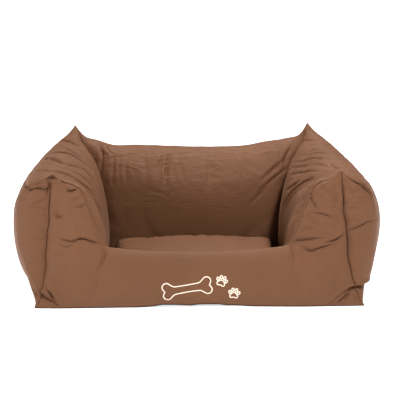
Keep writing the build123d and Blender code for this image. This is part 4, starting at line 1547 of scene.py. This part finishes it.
def turned(points, angle, scale, place):
    points = np.asarray(points, float) * scale
    c, s = math.cos(angle), math.sin(angle)
    return points @ np.array([[c, s], [-s, c]]) + np.asarray(place)


def closed_curve(points, steps=10):
    """A smooth closed line through a few points."""
    points = np.asarray(points, float)
    around = np.concatenate([points[-2:], points, points[:3]])
    line = resampled(around, np.arange(2, len(points) + 2, 1 / steps), 0)
    return np.concatenate([line, line[:1]])


def bone_outline():
    """A bone: a slim shaft with two round knobs at each end."""
    upper_right = np.array([(0, 8.2), (17, 8.6), (30, 9.6), (37.5, 14.5), (44.5, 19.6), (52.8, 18.2),
                            (57.2, 11.4), (55.2, 4.2), (52.6, 0.0)])
    lower_right = upper_right[:-1][::-1] * (1, -1)
    right = np.concatenate([upper_right, lower_right])
    left = right[1:-1][::-1] * (-1, 1)
    return closed_curve(np.concatenate([right, left]))


def paw_outlines():
    """A paw: a rounded pad with four toes over it."""
    half = [(4.5, -0.5), (8.6, -6.0), (7.0, -10.4), (2.8, -10.2)]
    lines = [closed_curve([(0, 1.5)] + half + [(0, -9.2)] + [(-x, y) for x, y in half[::-1]])]
    for x, y, lean in ((-9.6, 1.6, 0.45), (-3.9, 7.4, 0.12), (3.9, 7.4, -0.12), (9.6, 1.6, -0.45)):
        angles = np.linspace(0, 2 * math.pi, 28)
        ring = np.stack([2.5 * np.cos(angles), 3.6 * np.sin(angles)], 1)
        lines.append(turned(ring, lean, 1, (x, y)))
    return lines


# Where the bone and the paws stand: their lean, their scale and the place across and up the front
BONE_PLACE = (0.16, 1.04, (-0.026, 0.050))
PAW_PLACES = ((-0.35, 1.1, (0.058, 0.068)), (-0.15, 1.1, (0.088, 0.037)))

# The ink across a line: the share of its half width, and how high it stands over the cloth
INK_RISE = ((-1, 0.00006), (-0.7, 0.00028), (0, 0.00034), (0.7, 0.00028), (1, 0.00006))


class DOGBED_OT_print(bpy.types.Operator):
    """Prints a bone and paws on the front panel, as thin lines that follow the cloth"""

    bl_idname = "dogbed.print"
    bl_label = "Print"

    def execute(self, context):
        sizes = settings("trim")
        cream = printed_ink("cream_print", sizes.cream)
        grid = made["panels"]["front", "outer"]
        cloth = BVHTree.FromPolygons([Vector(point) for point in grid.reshape(-1, 3)],
                                     grid_faces(*grid.shape[:2]).tolist())
        lines = []
        for outlines, places in (([bone_outline()], [BONE_PLACE]), (paw_outlines(), PAW_PLACES)):
            for angle, scale, place in places:
                lines += [turned(line, angle, scale * MM, place) for line in outlines]
        points, faces = [], []
        for line in lines:
            self.ribbon(cloth, line, sizes.line, points, faces)
        piece = mesh_object("front_print", points, faces)
        finish_piece(piece, cream, BED, "brown_cloth")
        return {"FINISHED"}

    def ribbon(self, cloth, line, width, points, faces):
        """A closed line of ink, a little thicker along its middle."""
        length = length_passed(line)
        count = max(12, int(length[-1] / 0.0012))
        places = np.linspace(0, length[-1], count, endpoint=False)
        line = np.stack([np.interp(places, length, line[:, axis]) for axis in range(2)], 1)
        way = np.roll(line, -1, 0) - np.roll(line, 1, 0)
        side = np.stack([-way[:, 1], way[:, 0]], 1) / np.linalg.norm(way, axis=1, keepdims=True)
        start = len(points)
        for place, across in zip(line, side):
            for share, height in INK_RISE:
                x, z = place + across * share * width / 2
                spot, normal, _, _ = cloth.ray_cast(Vector((x, -1, z)), Vector((0, 1, 0)))
                if spot is None:
                    raise RuntimeError("the print reaches past the front panel")
                points.append(spot + normal * (height if normal.y < 0 else -height))
        faces += (grid_faces(count, len(INK_RISE), closed=True) + start).tolist()


# Materials

def math_node(tree, operation, first, second=None, third=None, clamp=False):
    node = tree.nodes.new("ShaderNodeMath")
    node.operation = operation
    node.use_clamp = clamp
    for socket, value in zip(node.inputs, (first, second, third)):
        if value is None:
            continue
        if isinstance(value, (int, float)):
            socket.default_value = value
        else:
            tree.links.new(value, socket)
    return node.outputs[0]


def noise_node(tree, vector, scale, detail, roughness=0.5, distortion=0.0):
    node = tree.nodes.new("ShaderNodeTexNoise")
    node.inputs["Detail"].default_value = detail
    node.inputs["Roughness"].default_value = roughness
    node.inputs["Distortion"].default_value = distortion
    tree.links.new(vector, node.inputs["Vector"])
    if isinstance(scale, (int, float)):
        node.inputs["Scale"].default_value = scale
    else:
        tree.links.new(scale, node.inputs["Scale"])
    return node.outputs["Fac"]


@cache
def weave_group():
    """Height and tint of a plain weave: threads over and under each other, drawn on a cloth map in metres."""
    tree, source, target = group_with(
        "Plain weave",
        [("Vector", "Vector", None), ("Threads per metre", "Float", 1400.0)],
        [("Height", "Float"), ("Tint", "Float")])
    apart = tree.nodes.new("ShaderNodeSeparateXYZ")
    tree.links.new(source.outputs["Vector"], apart.inputs[0])
    waves = []
    for axis in ("X", "Y"):
        turns = math_node(tree, "MULTIPLY", apart.outputs[axis], source.outputs["Threads per metre"])
        waves.append(math_node(tree, "SINE", math_node(tree, "MULTIPLY", turns, math.pi)))
    crossing = math_node(tree, "MULTIPLY", waves[0], waves[1])
    tree.links.new(math_node(tree, "MULTIPLY_ADD", crossing, 0.5, 0.5), target.inputs["Height"])
    slub = noise_node(tree, source.outputs["Vector"], 420.0, 2.0)
    tree.links.new(slub, target.inputs["Tint"])
    return tree


@cache
def cloth_tone_group():
    """Slow changes of tone over a cloth, and the small rumples left by packing."""
    tree, source, target = group_with(
        "Cloth tone",
        [("Vector", "Vector", None), ("Rumple size", "Float", 22.0)],
        [("Tone", "Float"), ("Rumples", "Float")])
    tone = noise_node(tree, source.outputs["Vector"], 5.0, 3.0)
    tree.links.new(tone, target.inputs["Tone"])
    stretch = tree.nodes.new("ShaderNodeMapping")
    stretch.inputs["Scale"].default_value = (1.0, 1.0, 0.45)
    tree.links.new(source.outputs["Vector"], stretch.inputs["Vector"])
    rumples = noise_node(tree, stretch.outputs[0], source.outputs["Rumple size"], 3.5, 0.45, 0.6)
    tree.links.new(rumples, target.inputs["Rumples"])
    return tree


@cache
def crinkle_group():
    """Fine creases that run level round the bed, in patches, more of them the higher up."""
    tree, source, target = group_with(
        "Crinkles", [("Vector", "Vector", None)], [("Height", "Float")])
    stretch = tree.nodes.new("ShaderNodeVectorMath")
    stretch.operation = "MULTIPLY"
    stretch.inputs[1].default_value = (9.0, 30.0, 30.0)
    tree.links.new(source.outputs["Vector"], stretch.inputs[0])
    field = noise_node(tree, stretch.outputs[0], 1.0, 2.0, 0.5, 0.8)
    off = math_node(tree, "ABSOLUTE", math_node(tree, "SUBTRACT", field, 0.5))
    line = math_node(tree, "SUBTRACT", 1.0, math_node(tree, "MULTIPLY", off, 7.0), clamp=True)
    patches = noise_node(tree, source.outputs["Vector"], 9.0, 2.0)
    patches = math_node(tree, "MULTIPLY", math_node(tree, "SUBTRACT", patches, 0.42), 5.0, clamp=True)
    apart = tree.nodes.new("ShaderNodeSeparateXYZ")
    tree.links.new(source.outputs["Vector"], apart.inputs[0])
    higher = math_node(tree, "SUBTRACT", apart.outputs["Z"], 0.10)
    higher = math_node(tree, "MULTIPLY", higher, 7.0, clamp=True)
    slow = noise_node(tree, source.outputs["Vector"], 26.0, 2.5, 0.5, 0.7)
    lines = math_node(tree, "MULTIPLY", line, patches)
    both = math_node(tree, "ADD", lines, math_node(tree, "MULTIPLY", slow, 2.2))
    tree.links.new(math_node(tree, "MULTIPLY", both, higher), target.inputs["Height"])
    return tree


def add_group(tree, group):
    node = tree.nodes.new("ShaderNodeGroup")
    node.node_tree = group
    return node


def new_material(name, **values):
    """A material, its node tree, its shader with values by socket, and the place on the piece."""
    material = bpy.data.materials.new(name)
    material.use_nodes = True
    tree = material.node_tree
    shader = tree.nodes["Principled BSDF"]
    for label, value in values.items():
        shader.inputs[label.replace("_", " ")].default_value = value
    return material, tree, shader, tree.nodes.new("ShaderNodeTexCoord").outputs["Object"]


def mottled(name, noise, dark, light, grain=None, **values):
    """A material of two close tones, with its parts. noise and grain hold a noise's and a bump's values."""
    material, tree, shader, place = new_material(name, **values)
    tone = noise_node(tree, place, *noise)
    tree.links.new(mix_colours(tree, tone, dark, light), shader.inputs["Base Color"])
    if grain:
        tree.links.new(bump(tree, tone, *grain), shader.inputs["Normal"])
    return material, tree, shader, place, tone


def mix_colours(tree, share, first, second):
    node = tree.nodes.new("ShaderNodeMix")
    node.data_type = "RGBA"
    for socket, value in ((node.inputs[0], share), (node.inputs[6], first), (node.inputs[7], second)):
        if isinstance(value, (tuple, list)):
            socket.default_value = (*value[:3], 1.0)
        elif isinstance(value, (int, float)):
            socket.default_value = value
        else:
            tree.links.new(value, socket)
    return node.outputs[2]


def bump(tree, height, strength, distance, before=None):
    node = tree.nodes.new("ShaderNodeBump")
    node.inputs["Strength"].default_value = strength
    node.inputs["Distance"].default_value = distance
    tree.links.new(height, node.inputs["Height"])
    if before is not None:
        tree.links.new(before, node.inputs["Normal"])
    return node.outputs["Normal"]


def brown_cloth(name, colour, threads=1400.0, rumple=0.12):
    """Coated woven polyester: a close weave with a soft sheen, and a painted highlight on the weave's raised
    threads.
    """
    material, tree, shader, place = new_material(
        name, Specular_IOR_Level=0.10, Sheen_Weight=0.10, Sheen_Roughness=0.35,
        Sheen_Tint=(1.0, 0.62, 0.42, 1.0))
    uv = tree.nodes.new("ShaderNodeUVMap")
    uv.uv_map = "Cloth"
    weave = add_group(tree, weave_group())
    weave.inputs["Threads per metre"].default_value = threads
    tree.links.new(uv.outputs[0], weave.inputs["Vector"])
    tone = add_group(tree, cloth_tone_group())
    tree.links.new(place, tone.inputs["Vector"])
    dark = tuple(c * 0.80 for c in colour)
    light = tuple(min(1.0, c * 1.16) for c in colour)
    slow = mix_colours(tree, tone.outputs["Tone"], dark, light)
    # Painted highlight: where the weave's threads rise, the base colour is mixed towards a lighter brown
    crown_highlight_share = math_node(tree, "MULTIPLY", weave.outputs["Height"], 0.22)
    with_crown_highlight = mix_colours(tree, crown_highlight_share, slow, tuple(min(1.0, c * 1.5) for c in colour))
    tree.links.new(with_crown_highlight, shader.inputs["Base Color"])
    rough = math_node(tree, "MULTIPLY_ADD", tone.outputs["Tone"], 0.12, 0.52)
    tree.links.new(rough, shader.inputs["Roughness"])
    rumples = bump(tree, tone.outputs["Rumples"], rumple, 0.004)
    crinkles = add_group(tree, crinkle_group())
    tree.links.new(place, crinkles.inputs["Vector"])
    creased = bump(tree, crinkles.outputs["Height"], 1.0, 0.0022, rumples)
    tree.links.new(bump(tree, weave.outputs["Height"], 0.35, 0.00025, creased), shader.inputs["Normal"])
    return material


def fibre_fill(name):
    """White polyester fibre: soft, matt and uneven."""
    return mottled(name, (160.0, 6.0, 0.7, 1.5), (0.70, 0.69, 0.66), (0.88, 0.87, 0.85), (0.8, 0.002),
                   Roughness=0.95, Specular_IOR_Level=0.1, Sheen_Weight=0.5)[0]


def sewing_thread(name):
    return mottled(name, (900.0, 2.0), (0.20, 0.10, 0.055), (0.36, 0.20, 0.12), (0.4, 0.0001),
                   Roughness=0.5)[0]


def soft_rubber(name):
    return mottled(name, (500.0, 3.0), (0.010, 0.010, 0.010), (0.022, 0.022, 0.023), (0.3, 0.0001),
                   Roughness=0.6)[0]


def moulded_nylon(name):
    return mottled(name, (60.0, 2.0), (0.055, 0.028, 0.018), (0.085, 0.046, 0.030), Roughness=0.34)[0]


def lacquered_zinc(name):
    material, tree, shader, _, wear = mottled(name, (260.0, 4.0), (0.34, 0.25, 0.18), (0.50, 0.40, 0.30),
                                              (0.15, 0.0002), Metallic=0.9)
    tree.links.new(math_node(tree, "MULTIPLY_ADD", wear, 0.25, 0.22), shader.inputs["Roughness"])
    return material


def printed_ink(name, colour):
    """Flexible ink with a fine crackle from the weave under it."""
    return mottled(name, (700.0, 3.0), tuple(c * 0.86 for c in colour), tuple(colour), (0.3, 0.00015),
                   Roughness=0.5)[0]


def pale_floor():
    """A pale floor that glows a little, less of it beside the bed."""
    material, tree, shader, place, _ = mottled(
        "studio_floor", (1.5, 2.0), (0.86, 0.86, 0.86), (0.90, 0.90, 0.90), Roughness=0.85,
        Specular_IOR_Level=0.1, Emission_Color=(1.0, 1.0, 1.0, 1.0))
    radius = tree.nodes.new("ShaderNodeVectorMath")
    radius.operation = "LENGTH"
    tree.links.new(place, radius.inputs[0])
    glow = tree.nodes.new("ShaderNodeMapRange")
    for socket, value in (("From Min", 0.6), ("From Max", 2.6), ("To Min", 0.72), ("To Max", 0.95)):
        glow.inputs[socket].default_value = value
    tree.links.new(radius.outputs["Value"], glow.inputs["Value"])
    tree.links.new(glow.outputs["Result"], shader.inputs["Emission Strength"])
    return material


# Studio

SKY_STRENGTH = 0.19

# Each lamp: where it stands, what it points at, its width and depth, and its power in watts
LAMPS = {
    "key_light": ((0.9, -1.5, 2.6), (0, -0.15, 0.15), (0.4, 0.4), 84),
    "top_light": ((0.3, 1.1, 2.5), (-0.1, 0, 0.3), (0.6, 0.6), 58),
    "side_light": ((-2.4, -1.2, 1.0), (0, -0.1, 0.15), (0.7, 0.7), 35),
}


def area_light(name, place, target, size, power):
    light = bpy.data.lights.new(name, "AREA")
    light.shape = "RECTANGLE"
    light.size, light.size_y = size
    light.energy = power
    piece = link(bpy.data.objects.new(name, light))
    piece.location = place
    piece.rotation_euler = (Vector(target) - Vector(place)).to_track_quat("-Z", "Y").to_euler()


class DOGBED_OT_stage(bpy.types.Operator):
    """Sets up the floor, the soft studio light and the camera"""

    bl_idname = "dogbed.stage"
    bl_label = "Studio"

    def execute(self, context):
        sizes = settings("stage")
        scene = context.scene
        camera = bpy.data.cameras.new("camera")
        camera.sensor_width = 36.0
        camera.lens = sizes.focal_pixels / PICTURE_SIZE * camera.sensor_width
        camera.clip_end = 50
        piece = link(bpy.data.objects.new("camera", camera))
        right, up, ahead = camera_axes()
        axes = Matrix((right, up, -ahead)).transposed()
        piece.matrix_world = Matrix.Translation(sizes.camera_place) @ axes.to_4x4()
        scene.camera = piece
        size, rise = 40.0, 4.0
        corners = [(x, y, 0) for x, y in outline(size, -size, size)[:4]]
        corners += [(-size, size, rise), (size, size, rise)]
        floor = mesh_object("studio_floor", corners, [(0, 1, 2, 3), (3, 2, 5, 4)])
        floor.data.materials.append(pale_floor())
        world = bpy.data.worlds.new("studio_world")
        world.use_nodes = True
        sky = world.node_tree.nodes["Background"]
        sky.inputs["Color"].default_value = (1.0, 1.0, 1.0, 1.0)
        sky.inputs["Strength"].default_value = SKY_STRENGTH
        scene.world = world
        for name, values in LAMPS.items():
            area_light(name, *values)
        scene.view_settings.view_transform = "Standard"
        return {"FINISHED"}


class DOGBED_PT_pieces(bpy.types.Panel):
    """The pieces of the bed, each with its sizes"""

    bl_idname = "DOGBED_PT_pieces"
    bl_label = "Dog bed"
    bl_space_type = "VIEW_3D"
    bl_region_type = "UI"
    bl_category = "Dog bed"

    def draw(self, context):
        for group in PROPERTY_GROUPS:
            box = self.layout.box()
            for name in group.__annotations__:
                box.prop(settings(PROPERTY_GROUPS[group]), name)
        for operator in OPERATORS:
            self.layout.operator(operator.bl_idname)


PROPERTY_GROUPS = {CoverSizes: "cover", CushionSizes: "cushion", TrimSizes: "trim", StageSizes: "stage"}
OPERATORS = [DOGBED_OT_cover, DOGBED_OT_stuffing, DOGBED_OT_base, DOGBED_OT_cushion, DOGBED_OT_zip,
             DOGBED_OT_stitching, DOGBED_OT_print, DOGBED_OT_stage]


def register():
    for group, name in PROPERTY_GROUPS.items():
        bpy.utils.register_class(group)
        setattr(bpy.types.Scene, "dog_bed_" + name, PointerProperty(type=group))
    for operator in OPERATORS:
        bpy.utils.register_class(operator)
    bpy.utils.register_class(DOGBED_PT_pieces)


def unregister():
    bpy.utils.unregister_class(DOGBED_PT_pieces)
    for operator in reversed(OPERATORS):
        bpy.utils.unregister_class(operator)
    for group, name in PROPERTY_GROUPS.items():
        delattr(bpy.types.Scene, "dog_bed_" + name)
        bpy.utils.unregister_class(group)


def main():
    register()
    for operator in OPERATORS:
        family, name = operator.bl_idname.split(".")
        getattr(getattr(bpy.ops, family), name)()


if __name__ == "__main__":
    main()
